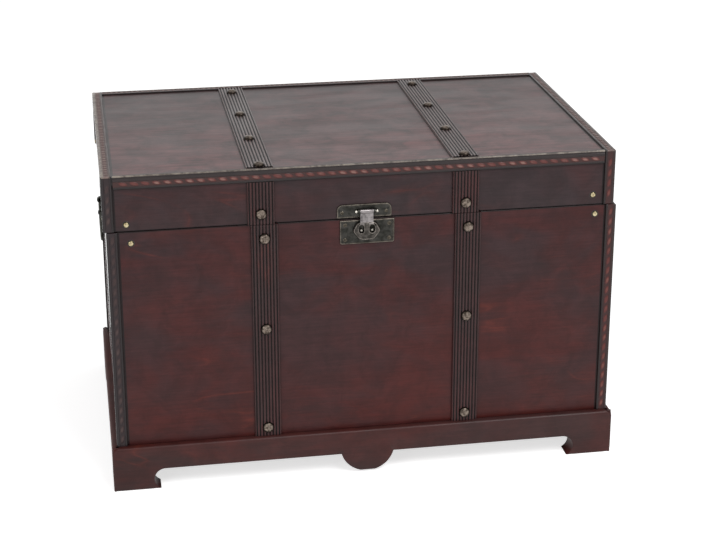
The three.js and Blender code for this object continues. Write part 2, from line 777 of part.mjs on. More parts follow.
function buildStayArm(group) {
  const reach = (degrees) =>
    2 * stayRadius * Math.sin(THREE.MathUtils.degToRad((2 * stayAngle + degrees) / 2));
  const slotRadius = staySlotWidth / 2;
  const slotTop = -reach(0) + fitGap;
  const slotBottom = -reach(lidTravel) - fitGap;
  const armRadius = stayArmWidth / 2;
  const outline = [
    ...arc(0, 0, armRadius, 0, 180),
    ...arc(0, slotBottom - armRadius / 2, armRadius, 180, 360),
  ];
  const slot = [
    ...arc(0, slotTop, slotRadius, 0, 180),
    ...arc(0, slotBottom, slotRadius, 180, 360),
  ];
  const arm = prismX(outline, -stayArmThickness, 0, [slot]);
  const pivot = rodX(stayPivotRadius, -stayArmThickness / 2, stayArmStand + stayPivotDepth, 0, 0);
  const place = stayPivotPlace();
  piece("stay_arm", join(arm, pivot), stayFinish, group, [stayArmX, place.y, place.z]);
}

function buildStayPost(group) {
  const place = stayPivotPlace();
  const foot = block(
    innerX - stayFootThickness,
    innerX,
    place.y - stayFootWidth / 2,
    place.y + stayFootWidth / 2,
    place.postZ - stayFootHeight / 2,
    place.postZ + stayFootHeight / 2 - seamGap,
  );
  const headX = stayArmX - stayArmThickness - fitGap;
  const post = rodX(stayPostRadius, headX, innerX - stayFootThickness / 2, place.y, place.postZ);
  const head = rodX(
    stayPostHeadRadius,
    headX - stayPostHeadThickness,
    headX,
    place.y,
    place.postZ,
  );
  piece("stay_post", join(foot, post, head), stayFinish, group);
}

// Assembly

const chest = new THREE.Group();
const body = new THREE.Group();
const lid = new THREE.Group();
lid.position.set(-lidShift, 0, lidZ);
chest.add(body, lid);

buildPlinth(body);
buildBody(body);
cornerTrims("body", plinthHeight, seamZ, body);
buildStrikePlate(body);
buildHandles(body);
buildLid(lid);
cornerTrims("lid", 0, lidPanelTop, lid);
lidEdgeTrims(lid);
buildHaspPlate(lid);
buildHaspPin(lid);
buildHasp(lid);
buildHinges(body, lid);
buildStayArm(chest);
buildStayPost(body);

export default chest;
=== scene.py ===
"""Sea chest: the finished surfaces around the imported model. Metres, X to the right, Y to the back, Z up."""

import random
from dataclasses import dataclass, replace
from math import asin, atan2, ceil, copysign, cos, degrees, dist, pi, radians, sin, sqrt

import bmesh
import bpy
import numpy as np
from mathutils import Matrix, Vector, noise
from mathutils.geometry import delaunay_2d_cdt


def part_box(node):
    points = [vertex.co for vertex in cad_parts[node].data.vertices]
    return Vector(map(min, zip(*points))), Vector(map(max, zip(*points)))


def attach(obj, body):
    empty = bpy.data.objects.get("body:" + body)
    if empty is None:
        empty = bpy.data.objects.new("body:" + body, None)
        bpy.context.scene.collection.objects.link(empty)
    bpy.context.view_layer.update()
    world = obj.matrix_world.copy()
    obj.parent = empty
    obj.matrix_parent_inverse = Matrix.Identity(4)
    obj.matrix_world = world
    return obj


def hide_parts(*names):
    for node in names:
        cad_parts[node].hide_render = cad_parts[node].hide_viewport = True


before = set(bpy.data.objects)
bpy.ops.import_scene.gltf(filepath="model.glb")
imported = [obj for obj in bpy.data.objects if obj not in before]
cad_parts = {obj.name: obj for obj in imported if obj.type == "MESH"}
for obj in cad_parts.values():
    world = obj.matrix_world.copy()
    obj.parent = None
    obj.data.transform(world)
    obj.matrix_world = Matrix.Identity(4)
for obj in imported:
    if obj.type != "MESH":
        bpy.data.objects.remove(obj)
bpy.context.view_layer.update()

MM = 0.001


def mm(*lengths):
    return [length * MM for length in lengths]


X, Y, Z = Vector((1, 0, 0)), Vector((0, 1, 0)), Vector((0, 0, 1))
PARTS = (("body", "chest"), ("lid", "lid"))


def low(node):
    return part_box(node)[0]


def high(node):
    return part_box(node)[1]


def middle(node):
    return (low(node) + high(node)) / 2


def span(node, axis):
    return high(node)[axis] - low(node)[axis]


# Sizes taken from the frame
FRONT = low("body_front").y
BACK = high("body_back").y
SIDE = high("body_right").x
SEAM = high("body_front").z
LID_LOW = low("lid_front").z
LID_TOP = high("lid_panel").z
LID_SHIFT = middle("lid_panel").x
BODY_LOW = low("body_front").z
STRAP_X = middle("body_strap_right").x
STRAP_HALF = span("body_strap_right", 0) / 2
STRAP_THICK = FRONT - low("body_strap_right").y
TRIM_THICK = high("body_corner_front_right").x - SIDE
TRIM_LEG = span("body_corner_front_right", 0)
PLINTH_THICK = span("plinth_front", 1)
STUD_RADIUS = span("lid_stud_left", 0) / 2
STUD_HEIGHT = low("lid_strap_left").y - low("lid_stud_left").y
TOP_STUD_PITCH = middle("top_stud_left_2").y - middle("top_stud_left_1").y


# Outlines

def unit(v):
    return v / np.maximum(np.linalg.norm(v, axis=-1, keepdims=True), 1e-12)


def arc(cx, cy, radius, start, end, steps=8):
    angles = [radians(start + (end - start) * i / steps) for i in range(steps + 1)]
    return [(cx + radius * cos(a), cy + radius * sin(a)) for a in angles]


def rounded_box(x0, x1, y0, y1, lower, upper):
    """An anticlockwise rectangle, with one radius for its two lower corners and one for its upper ones."""
    return [
        *arc(x0 + lower, y0 + lower, lower, 180, 270),
        *arc(x1 - lower, y0 + lower, lower, 270, 360),
        *arc(x1 - upper, y1 - upper, upper, 0, 90),
        *arc(x0 + upper, y1 - upper, upper, 90, 180),
    ]


def slot_shape(x, low_y, high_y, radius, steps):
    """An anticlockwise outline with straight sides between two half circles."""
    return arc(x, high_y, radius, 0, 180, steps) + arc(x, low_y, radius, 180, 360, steps)


def dense(loop, step):
    """The loop with extra points, so that none are further apart than the step."""
    points = []
    for a, b in zip(loop, loop[1:] + loop[:1]):
        count = max(1, ceil(dist(a, b) / step))
        points += [(a[0] + (b[0] - a[0]) * i / count, a[1] + (b[1] - a[1]) * i / count) for i in range(count)]
    return [p for p, q in zip(points, points[1:] + points[:1]) if dist(p, q) > 1e-7]


def distance(points, loop):
    start = np.asarray(loop, float)
    step = np.roll(start, -1, axis=0) - start
    rel = points[:, None] - start[None]
    share = np.clip((rel * step).sum(2) / (step ** 2).sum(1), 0, 1)
    return np.linalg.norm(rel - share[..., None] * step, axis=2).min(1)


def inside(points, loop):
    x, y = points.T
    result = np.zeros(len(points), bool)
    for (x0, y0), (x1, y1) in zip(loop, loop[1:] + loop[:1]):
        if y0 != y1:
            result ^= ((y0 > y) != (y1 > y)) & (x < (x1 - x0) * (y - y0) / (y1 - y0) + x0)
    return result


def ring(loop, inset):
    """Points at a distance inside an anticlockwise loop, without those that a sharp bend spoils."""
    at = np.asarray(loop, float)
    d1, d2 = unit(at - np.roll(at, 1, 0)), unit(np.roll(at, -1, 0) - at)
    n1, n2 = np.stack([-d1[:, 1], d1[:, 0]], 1), np.stack([-d2[:, 1], d2[:, 0]], 1)
    normal = unit(n1 + n2)
    moved = at + normal * inset / np.maximum((normal * n1).sum(1, keepdims=True), 0.4)
    return moved[np.abs(distance(moved, loop) - abs(inset)) < 0.1 * abs(inset)]


def eased(gap, radius):
    """How far a rounded edge lies below its face at a distance from the edge."""
    inward = np.clip(radius - gap, 0, radius)
    return radius - np.sqrt(np.maximum(radius ** 2 - inward ** 2, 0))


def ridge(gap, at, half, rise):
    """The height of a soft ridge that runs along an outline at a distance from it."""
    return rise * np.exp(-((gap - at) / half) ** 2)


# Meshes

def new_mesh():
    """An empty mesh whose points carry one value for wear and painted light: rubbed edges, painted sheen, and
    painted shade and highlights by height.
    """
    bm = bmesh.new()
    bm.verts.layers.float.new("wear_and_light")
    return bm


def point(bm, at, wear_and_light=0.0):
    vert = bm.verts.new(at)
    vert[bm.verts.layers.float["wear_and_light"]] = wear_and_light
    return vert


def filled(outline, holes, spacing, insets):
    """Flat points and faces that fill an outline but for its holes, with rings of points at the insets."""
    loops = [dense(outline, spacing)] + [dense(hole, spacing / 2) for hole in holes]
    outer, inner = loops[0], loops[1:]
    axes = [np.arange(a + spacing / 2, b, spacing) for a, b in zip(np.min(outer, 0), np.max(outer, 0))]
    free = np.stack(np.meshgrid(*axes), -1).reshape(-1, 2)
    away = inside(free, outer) & (distance(free, outer) > max(insets, default=0) + spacing * 0.45)
    for hole in inner:
        away &= ~inside(free, hole) & (distance(free, hole) > spacing * 0.45)
    points = np.concatenate([*loops, free[away], *[ring(outer, inset) for inset in insets]])
    edges, start = [], 0
    for loop in loops:
        edges += [(start + i, start + (i + 1) % len(loop)) for i in range(len(loop))]
        start += len(loop)
    verts, _, faces, *_ = delaunay_2d_cdt([Vector(p) for p in points], edges, [], 1, 1e-9)
    flat = np.array([tuple(v) for v in verts])
    centres = np.array([flat[list(f)].mean(0) for f in faces])
    kept = inside(centres, outer)
    for hole in inner:
        kept &= ~inside(centres, hole)
    return flat, [f for f, keep in zip(faces, kept) if keep]


def relief(bm, outline, height, place, holes=(), spacing=2 * MM, insets=(), shear=None, wear_and_light=None):
    """A slab whose face has a height over each (u, v). place turns (u, v, w) into a point."""
    flat, faces = filled(outline, holes, spacing, insets)
    wear_and_light_mask = np.zeros(len(flat)) if wear_and_light is None else wear_and_light(flat)
    front = [point(bm, place(u, v, w), value) for (u, v), w, value in zip(flat, height(flat), wear_and_light_mask)]
    behind = flat if shear is None else shear(flat)
    rear = [point(bm, place(u, v, 0.0)) for u, v in behind]
    sides = {}
    for f in faces:
        bm.faces.new([front[i] for i in f])
        bm.faces.new([rear[i] for i in reversed(f)])
        for a, b in zip(f, f[1:] + f[:1]):
            if not sides.pop((b, a), False):
                sides[(a, b)] = True
    for a, b in sides:
        bm.faces.new([front[b], front[a], rear[a], rear[b]])
    bmesh.ops.delete(bm, geom=[v for v in front + rear if not v.link_faces], context="VERTS")


def bridge(bm, rings, first=True, last=True):
    """The faces between rings of points, and over the first and last ring. A ring may be a single point."""
    faces = []
    for a, b in zip(rings, rings[1:]):
        count = max(len(a), len(b))
        for i in range(count):
            j = (i + 1) % count
            corners = [a[i % len(a)], a[j % len(a)], b[j % len(b)], b[i % len(b)]]
            kept = [v for k, v in enumerate(corners) if v not in corners[:k]]
            if len(kept) > 2:
                faces.append(bm.faces.new(kept))
    if first:
        faces.append(bm.faces.new(rings[0][::-1]))
    if last:
        faces.append(bm.faces.new(rings[-1]))
    return faces


def strip(bm, section, origin, across, out, along, length, steps=1, wear_and_light=None):
    """A closed section of (across, out) points drawn out in a straight line."""
    rings = []
    for i in range(steps + 1):
        at = origin + along * (length * i / steps)
        values = wear_and_light or [0.0] * len(section)
        rings.append([point(bm, at + across * a + out * b, value) for (a, b), value in zip(section, values)])
    bridge(bm, rings)


def lathe(bm, profile, matrix, sides, bend=None):
    """A profile of (radius, height) points turned round its axis. It starts and ends on the axis."""
    widest = max(radius for radius, _ in profile)
    rings = []
    for radius, h in profile:
        count = 1 if radius < 1e-9 else sides
        angles = [2 * pi * i / count for i in range(count)]
        at = [Vector((radius * cos(angle), radius * sin(angle), h)) for angle in angles]
        # Each point's mask value is how near the axis it lies; the stud and nail metals paint shade by it
        # round a dome's foot.
        rings.append([point(bm, matrix @ (bend(p) if bend else p), 1 - radius / widest) for p in at])
    bridge(bm, rings, False, False)


def tube(bm, path, radius, sides):
    """A round rod along a path of points, with closed ends."""
    rings, normal = [], None
    angles = [2 * pi * k / sides for k in range(sides)]
    for i, at in enumerate(path):
        ahead = (path[min(i + 1, len(path) - 1)] - path[max(i - 1, 0)]).normalized()
        normal = ahead.orthogonal() if normal is None else normal - ahead * normal.dot(ahead)
        normal.normalize()
        side = ahead.cross(normal)
        rings.append([point(bm, at + (normal * cos(a) + side * sin(a)) * radius) for a in angles])
    bridge(bm, rings)


def linked(name, data):
    obj = bpy.data.objects.new(name, data)
    bpy.context.scene.collection.objects.link(obj)
    return obj


def meshed(name, bm, materials):
    mesh = bpy.data.meshes.new(name)
    bm.to_mesh(mesh)
    bm.free()
    for material in materials:
        mesh.materials.append(material)
    return linked(name, mesh)


def piece(name, bm, body, materials, replaces=(), angle=40):
    """A finished piece that rides on a body and stands for the nodes it replaces."""
    bmesh.ops.recalc_face_normals(bm, faces=bm.faces)
    obj = meshed(name, bm, materials)
    obj.data.polygons.foreach_set("use_smooth", [True] * len(obj.data.polygons))
    obj.data.set_sharp_from_angle(angle=radians(angle))
    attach(obj, body)
    if replaces:
        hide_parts(*replaces)


def on_face(normal, up, x, y, z):
    """The matrix that lays a shape's own z along a face's normal and its y along up, from a point."""
    side = up.cross(normal)
    return Matrix.Translation((x, y, z)) @ Matrix((side, up, normal)).transposed().to_4x4()


def place_on(matrix):
    return lambda u, v, w: matrix @ Vector((u, v, w))


# Materials

class Nodes:
    """Short ways to add nodes to a node tree."""

    def __init__(self, owner):
        owner.use_nodes = True
        self.tree = owner.node_tree

    def feed(self, socket, value):
        if isinstance(value, bpy.types.NodeSocket):
            self.tree.links.new(value, socket)
        else:
            socket.default_value = value

    def add(self, kind, inputs=None, **settings):
        node = self.tree.nodes.new("ShaderNode" + kind)
        for key, value in settings.items():
            setattr(node, key, value)
        for key, value in (inputs or {}).items():
            self.feed(node.inputs[key], value)
        return node

    def math(self, operation, a, b=0.0, clamp=False):
        return self.add("Math", {0: a, 1: b}, operation=operation, use_clamp=clamp).outputs[0]

    def seen_rays(self):
        """One for the rays that should meet a white background, and nothing for the rest."""
        path = self.add("LightPath").outputs
        seen = self.math("MAXIMUM", path["Is Camera Ray"], path["Is Glossy Ray"])
        return self.math("MAXIMUM", seen, path["Is Transmission Ray"])


class Shader(Nodes):
    """One material's nodes. Uniform values are set on the surface's own sockets."""

    def __init__(self, name, **uniform):
        self.material = bpy.data.materials.new(name)
        super().__init__(self.material)
        self.surface = self.tree.nodes["Principled BSDF"]
        self.finish(**uniform)
        self.where = self.add("TexCoord").outputs["Object"]

    def product(self, first, *others):
        for other in others:
            first = self.math("MULTIPLY", first, other)
        return first

    def gap(self, value, at):
        return self.math("ABSOLUTE", self.math("SUBTRACT", value, at))

    def axis(self, index):
        return self.add("SeparateXYZ", {0: self.where}).outputs[index]

    # Each point's mask for wear and painted light: rubbed edges, painted sheen, and painted shade and
    # highlights on raised shapes.
    def wear_and_light_mask(self):
        return self.add("Attribute", attribute_name="wear_and_light").outputs["Fac"]

    def noise(self, scale, detail, roughness, distortion=0.0, shift=(0, 0, 0)):
        """Noise with one scale, or with one for each axis, in waves for each metre."""
        scales = scale if isinstance(scale, tuple) else (scale,) * 3
        mapping = self.add("Mapping", {"Vector": self.where, "Location": shift, "Scale": scales})
        inputs = {"Vector": mapping.outputs[0], "Scale": 1.0, "Detail": detail}
        inputs |= {"Roughness": roughness, "Distortion": distortion}
        return self.add("TexNoise", inputs).outputs["Fac"]

    def curve(self, value, start, end, at_start=0.0, at_end=1.0, kind="SMOOTHSTEP"):
        inputs = dict(enumerate((value, start, end, at_start, at_end)))
        return self.add("MapRange", inputs, interpolation_type=kind).outputs[0]

    def mix(self, factor, a, b, blend="MIX"):
        return self.add("Mix", {0: factor, 6: a, 7: b}, data_type="RGBA", blend_type=blend).outputs[2]

    def grazing(self, least):
        """A coat that is thin seen square on and full where the surface is seen edge on."""
        facing = self.add("LayerWeight", {"Blend": 0.5}).outputs["Facing"]
        return self.curve(facing, 0.88, 0.98, least, 1.0)

    def bump(self, height, depth, normal=None):
        inputs = {"Height": height, "Distance": depth, "Strength": 1.0}
        if normal is not None:
            inputs["Normal"] = normal
        return self.add("Bump", inputs).outputs[0]

    def finish(self, **values):
        for key, value in values.items():
            self.feed(self.surface.inputs[key.replace("_", " ")], value)
        return self.material


def srgb(colour):
    """A colour as it is read off a screen, from 0 to 255, in the shader's linear values."""
    channels = [c / 255 for c in colour]
    return (*[c / 12.92 if c <= 0.04045 else ((c + 0.055) / 1.055) ** 2.4 for c in channels], 1.0)


def stretched(axis_index, along, across):
    """Scales for a grain that runs along one axis."""
    return tuple(along if i == axis_index else across for i in range(3))


# Painted shade: the colour, softness and widths of the dark lines laid beside the straps and along the seam,
# and of the dark line beside the corner trims.
PAINTED_SHADE_COLOUR = (16, 10, 11)
SHADE_SOFT, SHADE_DEPTH, TRIM_OFFSET = mm(0.6, 1.5, 0.4)
SHADE_BY_STRAP, SHADE_BY_TRIM, SHADE_AT_SEAM = mm(1.0, 1.7, 1.2)
GRAIN_DEPTH, PORE_DEPTH = mm(0.12, 0.05)
# Painted shade laid into the strap grooves.
GROOVE_SHADE = (13, 9, 9)
BRIGHT_VEIN = (99.1, 42.8, 34.0)


def veins(s, colour, grain, shift, vein, figure):
    """Thin veins that wander through the wood in places, each with a blush around it."""
    wander = s.noise(stretched(grain, 4, 13), 2, 0.45, 1.6, shift)
    off_line = s.gap(wander, 0.5)
    where = s.noise(11, 2, 0.5, 0.3, shift[::-1])
    blush = s.product(s.curve(off_line, 0.0, 0.05, 1.0, 0.0), s.curve(where, 0.48, 0.7), 0.25 * figure)
    thin = s.product(s.curve(off_line, 0.001, 0.014, 1.0, 0.0), s.curve(where, 0.54, 0.7), 0.32 * figure)
    return s.mix(thin, s.mix(blush, colour, srgb(vein)), srgb(vein))


def wood(name, dark, red, grain, seed, specular=0.22, rough=(0.34, 0.46), coat=None, shade_lines=None, redder=None,
         reeded=False, vein=BRIGHT_VEIN, figure=1.0, contrast=0.2, streaks=0.1, painted_shade_ramp=None):
    """Stained and lacquered wood: cloudy patches of red, wandering veins, fine grain and pores."""
    s = Shader(name, Specular_IOR_Level=specular, Coat_Roughness=0.04)
    shift = (seed, seed * 1.7, seed * 0.6)
    amount = s.curve(s.noise(stretched(grain, 7, 13), 4, 0.6, 0.5, shift), 0.36, 0.66)
    if redder:
        amount = s.math("ADD", s.product(amount, 0.6), redder(s), clamp=True)
    colour = veins(s, s.mix(s.product(amount, figure), srgb(dark), srgb(red)), grain, shift, vein, figure)

    lines = s.noise(stretched(grain, 14, 330), 3, 0.6, 0.3, shift)
    pores = s.noise(stretched(grain, 70, 1500), 2, 0.6, 0.0, shift)
    mottle = s.noise(34, 4, 0.65, 0.6, shift)
    # Where a ramp is given, it paints shade along an axis.
    shade = s.product(
        s.curve(lines, 0.3, 0.72, 1 - streaks, 1 + streaks),
        s.curve(pores, 0.3, 0.6, 0.9, 1.03),
        s.curve(mottle, 0.3, 0.7, 1 - contrast, 1 + contrast),
        painted_shade_ramp(s) if painted_shade_ramp else 1.0,
    )
    grey = s.add("CombineXYZ", {0: shade, 1: shade, 2: shade}).outputs[0]
    colour = s.mix(1.0, colour, grey, "MULTIPLY")
    # Painted shade beside the straps and along the seam, and a dark line beside the corner trims.
    if shade_lines:
        colour = s.mix(shade_lines(s), colour, srgb(PAINTED_SHADE_COLOUR))
    gloss = s.curve(s.noise(stretched(grain, 9, 26), 3, 0.5, 0.5, shift), 0.3, 0.7, *rough)
    # Painted shade in the strap grooves, laid where the reed height is low.
    if reeded:
        reed = s.wear_and_light_mask()
        colour = s.mix(s.curve(reed, 0.25, 0.85), srgb(GROOVE_SHADE), colour)
        gloss = s.math("ADD", gloss, s.curve(reed, 0.2, 0.7, 0.35, 0.0))
    if coat is not None:
        s.finish(Coat_Weight=s.grazing(coat))
    surface = s.bump(pores, PORE_DEPTH, s.bump(lines, GRAIN_DEPTH))
    return s.finish(Base_Color=colour, Roughness=gloss, Normal=surface)


def along_axis(axis, start, end, start_value, end_value):
    """A value that changes evenly between two places on an axis."""
    return lambda s: s.curve(s.axis(axis), start, end, start_value, end_value, "LINEAR")


def line_near(s, value, at, half):
    """One within half of a value, and nothing outside it."""
    return s.curve(s.gap(value, at), half, half + SHADE_SOFT, 1.0, 0.0)


def painted_shade_lines(offset, axis, face, beside_straps):
    """Painted shade beside the straps on their face and along the seam, and a dark line beside the corner
    trims.
    """
    def nodes(s):
        across = s.gap(s.axis(0), offset)
        beside = line_near(s, across, STRAP_X, STRAP_HALF + SHADE_BY_STRAP)
        beside = s.product(beside, line_near(s, s.axis(axis), face, SHADE_DEPTH), beside_straps)
        corner = line_near(s, across, SIDE + TRIM_THICK - TRIM_LEG - TRIM_OFFSET, SHADE_BY_TRIM)
        seam = line_near(s, s.axis(2), (SEAM + LID_LOW) / 2, SHADE_AT_SEAM)
        return s.product(s.math("MAXIMUM", s.math("MAXIMUM", beside, corner), seam), 0.85)
    return nodes


def metal(name, bright, dark, patches, rough, dent=0.12 * MM, dent_scale=500, edge=None, rim=None):
    """Plated or antiqued metal: tarnish in patches, a rubbed edge or a dark rim of painted shade, and small
    dents.
    """
    s = Shader(name, Metallic=1.0)
    clouds = s.noise(patches, 4, 0.6, 0.4)
    colour = s.mix(s.curve(clouds, 0.35, 0.68), srgb(bright), srgb(dark))
    if edge:
        rubbed = s.math("MULTIPLY", s.wear_and_light_mask(), s.curve(clouds, 0.85, 0.35), clamp=True)
        colour = s.mix(rubbed, colour, srgb(edge))
    # Painted shade: a dark rim laid where a point lies near the dome's edge.
    if rim:
        colour = s.mix(s.curve(s.wear_and_light_mask(), 0.04, 0.42, 1.0, 0.0), colour, srgb(rim))
    dents = s.noise(dent_scale, 2, 0.5)
    gloss = s.curve(clouds, 0.3, 0.7, *rough)
    return s.finish(Base_Color=colour, Roughness=gloss, Normal=s.bump(dents, dent))


RUBBED_AND_SHEEN = (138, 128, 118)
DARK_EDGE = (22, 15, 15)


def rope_ground(name, ground):
    """A trim's ground, with rubbed edges, painted sheen on its top legs, and darkened edges."""
    s = Shader(name, Specular_IOR_Level=0.18, Coat_Roughness=0.06)
    s.finish(Coat_Weight=s.grazing(0.3))
    cloud = s.noise(50, 3, 0.5)
    darker = (*[c * 0.65 for c in srgb(ground)[:3]], 1)
    colour = s.mix(s.curve(cloud, 0.3, 0.7), darker, srgb(ground))
    wear_and_light_mask = s.wear_and_light_mask()
    patchy = s.curve(s.noise(120, 4, 0.65, 0.4), 0.34, 0.66, 0.25, 1.0)
    # Pale rubbed edges, and on the top legs painted sheen.
    colour = s.mix(s.math("MULTIPLY", wear_and_light_mask, patchy, clamp=True), colour, srgb(RUBBED_AND_SHEEN))
    colour = s.mix(s.curve(wear_and_light_mask, -0.9, -0.2, 0.85, 0.0), colour, srgb(DARK_EDGE))
    fine = s.bump(s.noise(700, 2, 0.6), 0.05 * MM)
    return s.finish(Base_Color=colour, Roughness=s.curve(cloud, 0.3, 0.7, 0.36, 0.5), Normal=fine)


def rope_strand(name, between, strand, painted_highlight):
    """The strands of rope that are pressed up out of a trim, with painted shade low between them and a
    painted highlight on top.
    """
    s = Shader(name, Specular_IOR_Level=0.3)
    spots = s.noise(420, 3, 0.6)
    rise = s.wear_and_light_mask()
    # Painted highlight on the strand tops, and painted shade low between the strands.
    top = s.product(s.curve(rise, 0.72, 1.0), s.curve(s.noise(38, 2, 0.5), 0.36, 0.6, 0.15, 1.0))
    colour = s.mix(top, s.mix(s.curve(rise, 0.1, 0.7), srgb(between), srgb(strand)), srgb(painted_highlight))
    colour = s.mix(s.curve(spots, 0.5, 0.85, 0.0, 0.6), colour, srgb(between))
    fine = s.bump(spots, 0.07 * MM)
    return s.finish(Base_Color=colour, Roughness=s.curve(spots, 0.3, 0.7, 0.34, 0.5), Normal=fine)


def rope(name, ground, *strand):
    return [rope_ground(f"{name}_ground", ground), rope_strand(f"{name}_strand", *strand)]


DARK, RED = (50, 34, 36), (71, 27, 24)
PLINTH_DARK, PLINTH_RED = (57, 34, 33), (68, 30, 27)
FRONT_WOOD = wood(
    "mahogany_front", DARK, RED, 0, 0.0,
    shade_lines=painted_shade_lines(0.0, 1, FRONT, 0.3), redder=along_axis(2, 0.06, 0.3, 0.5, 0.0),
)
LID_WOOD = wood(
    "mahogany_lid", (50, 38, 40), (64, 33, 33), 0, 3.1,
    shade_lines=painted_shade_lines(LID_SHIFT, 1, FRONT, 0.3), figure=0.6,
)
# Painted sheen: the top's wood is paler than the front's, and a ramp paints it darker towards the back as
# shade.
TOP_SHEEN_WOOD = wood(
    "mahogany_top_sheen", (69, 45, 45), (74, 42, 42), 0, 5.3, 0.43, (0.36, 0.44),
    shade_lines=painted_shade_lines(LID_SHIFT, 2, LID_TOP, 1.0), vein=(40, 26, 26), contrast=0.5, streaks=0.42,
    painted_shade_ramp=along_axis(1, -0.17, 0.17, 1.15, 0.5),
)
SIDE_WOOD = wood("mahogany_side", DARK, RED, 1, 7.7, coat=0.1)
INSIDE_WOOD = wood("mahogany_inside", (62, 40, 36), (76, 42, 34), 0, 9.1, 0.2, (0.55, 0.7))
# Painted shade: the plinth's colour darkens towards its left end.
PLINTH_WOOD = wood(
    "mahogany_plinth", PLINTH_DARK, PLINTH_RED, 0, 11.4, 0.25,
    painted_shade_ramp=along_axis(0, -0.31, -0.16, 0.8, 1.0),
)
PLINTH_SIDE_WOOD = wood("mahogany_plinth_side", PLINTH_DARK, PLINTH_RED, 1, 12.9, 0.12, (0.5, 0.6))
STRAP_WOOD = wood("strap_upright", (50, 34, 34), (64, 30, 30), 2, 13.5, 0.3, reeded=True, figure=0.8)
# Painted sheen: the top straps are a paler copy of the upright straps' wood.
TOP_STRAP_SHEEN_WOOD = wood(
    "strap_top_sheen", (86, 72, 70), (92, 68, 66), 1, 14.2, 0.6, (0.3, 0.4), reeded=True, figure=0.4,
)
TRIM_BRIGHT = rope("rope_bright", (44, 34, 34), (61, 38, 36), (92, 45, 42), (136, 102, 94))
TRIM_RED = rope("rope_red", (52, 33, 32), (58, 32, 31), (88, 38, 35), (116, 72, 64))
TRIM_DARK = rope("rope_dark", (40, 32, 34), (42, 31, 33), (54, 38, 38), (72, 56, 54))
# Painted sheen: the trims along the lid's top edges are a paler copy of the rope colours.
TRIM_TOP_SHEEN = rope("rope_top_sheen", (70, 56, 54), (58, 42, 42), (98, 78, 74), (128, 108, 102))
# The studs' and nails' rim colours are painted shade round each dome's foot.
STUD_METAL = metal(
    "antique_stud", (132, 120, 110), (58, 50, 44), 300, (0.25, 0.4), 0.2 * MM, 420, rim=(34, 29, 25),
)
NAIL_METAL = metal(
    "bright_nail", (196, 184, 150), (138, 124, 92), 260, (0.18, 0.3), 0.05 * MM, rim=(52, 44, 32),
)
SCREW_METAL = metal("dull_screw", (96, 90, 80), (58, 54, 48), 500, (0.3, 0.45))
LATCH_METAL = metal(
    "dark_bronze", (62, 61, 58), (42, 42, 39), 160, (0.4, 0.55), 0.08 * MM, edge=(124, 116, 106),
)
HASP_METAL = metal(
    "worn_bronze", (80, 76, 72), (50, 48, 45), 240, (0.3, 0.45), 0.08 * MM, edge=(130, 123, 117),
)
NECK_METAL = metal("worn_nickel", (138, 133, 133), (92, 88, 88), 160, (0.3, 0.42), 0.08 * MM, 400)
SNAP_METAL = metal("dull_snap", (158, 154, 146), (110, 106, 100), 300, (0.25, 0.4), 0.05 * MM)
PIN_METAL = metal("bright_pin", (226, 222, 214), (176, 170, 158), 300, (0.16, 0.3), 0.05 * MM)
HANDLE_METAL = metal("dark_handle", (66, 66, 61), (38, 38, 35), 200, (0.34, 0.55), edge=(130, 122, 108))
STAY_METAL = metal("plated_stay", (206, 190, 146), (160, 142, 98), 200, (0.25, 0.4), 0.06 * MM)


# Boards

BOARD_EDGE, BOTTOM_EDGE = mm(0.9, 0.3)


def board(name, body, material, radius=BOARD_EDGE):
    """A board of the frame with its edges eased."""
    bm = new_mesh()
    bmesh.ops.create_cube(bm, size=1.0)
    a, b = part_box(name)
    for v in bm.verts:
        v.co = Vector([(a[i] + b[i]) / 2 + v.co[i] * (b[i] - a[i]) for i in range(3)])
    bmesh.ops.bevel(bm, geom=bm.edges[:], offset=radius, segments=3, profile=0.5, affect="EDGES")
    piece(f"{name}_board", bm, body, [material], [name], 60)


def boards():
    for (part, body), face_wood in zip(PARTS, (FRONT_WOOD, LID_WOOD)):
        for side, material in zip(("front", "back", "left", "right"), [face_wood] * 2 + [SIDE_WOOD] * 2):
            board(f"{part}_{side}", body, material)
    board("body_bottom", "chest", INSIDE_WOOD, BOTTOM_EDGE)
    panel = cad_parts["lid_panel"].data
    panel.materials.clear()
    panel.materials.append(TOP_SHEEN_WOOD)


# Plinth

PLINTH_TOP_RADIUS, PLINTH_EDGE_RADIUS, PLINTH_SPACING = mm(4, 1.6, 8)
PLINTH_INSETS = mm(0.5, 1.0, 1.6, 2.4, 4.0)
ARCH_HEIGHT, COVE_RADIUS, FOOT_LENGTH = mm(25.5, 13.4, 61.5)
DROP_RADIUS, DROP_FLAT, DROP_GAP = mm(33, 18, 2.2)


def plinth_elevation(half, with_drop):
    """The outline of a plinth board, anticlockwise from the middle of its lower edge."""
    cove_x, cove_z = half - FOOT_LENGTH, ARCH_HEIGHT - COVE_RADIUS
    tip = -degrees(asin(cove_z / COVE_RADIUS))
    right = []
    if with_drop:
        centre = DROP_GAP + sqrt(DROP_RADIUS ** 2 - (DROP_FLAT / 2) ** 2)
        start = degrees(atan2(DROP_GAP - centre, DROP_FLAT / 2))
        end = degrees(asin((ARCH_HEIGHT - centre) / DROP_RADIUS))
        right += arc(0, centre, DROP_RADIUS, start, end, 16)
    right += arc(cove_x, cove_z, COVE_RADIUS, 90, tip, 20)
    right += [(half, 0), (half, BODY_LOW)]
    return right + [(-x, z) for x, z in reversed(right)]


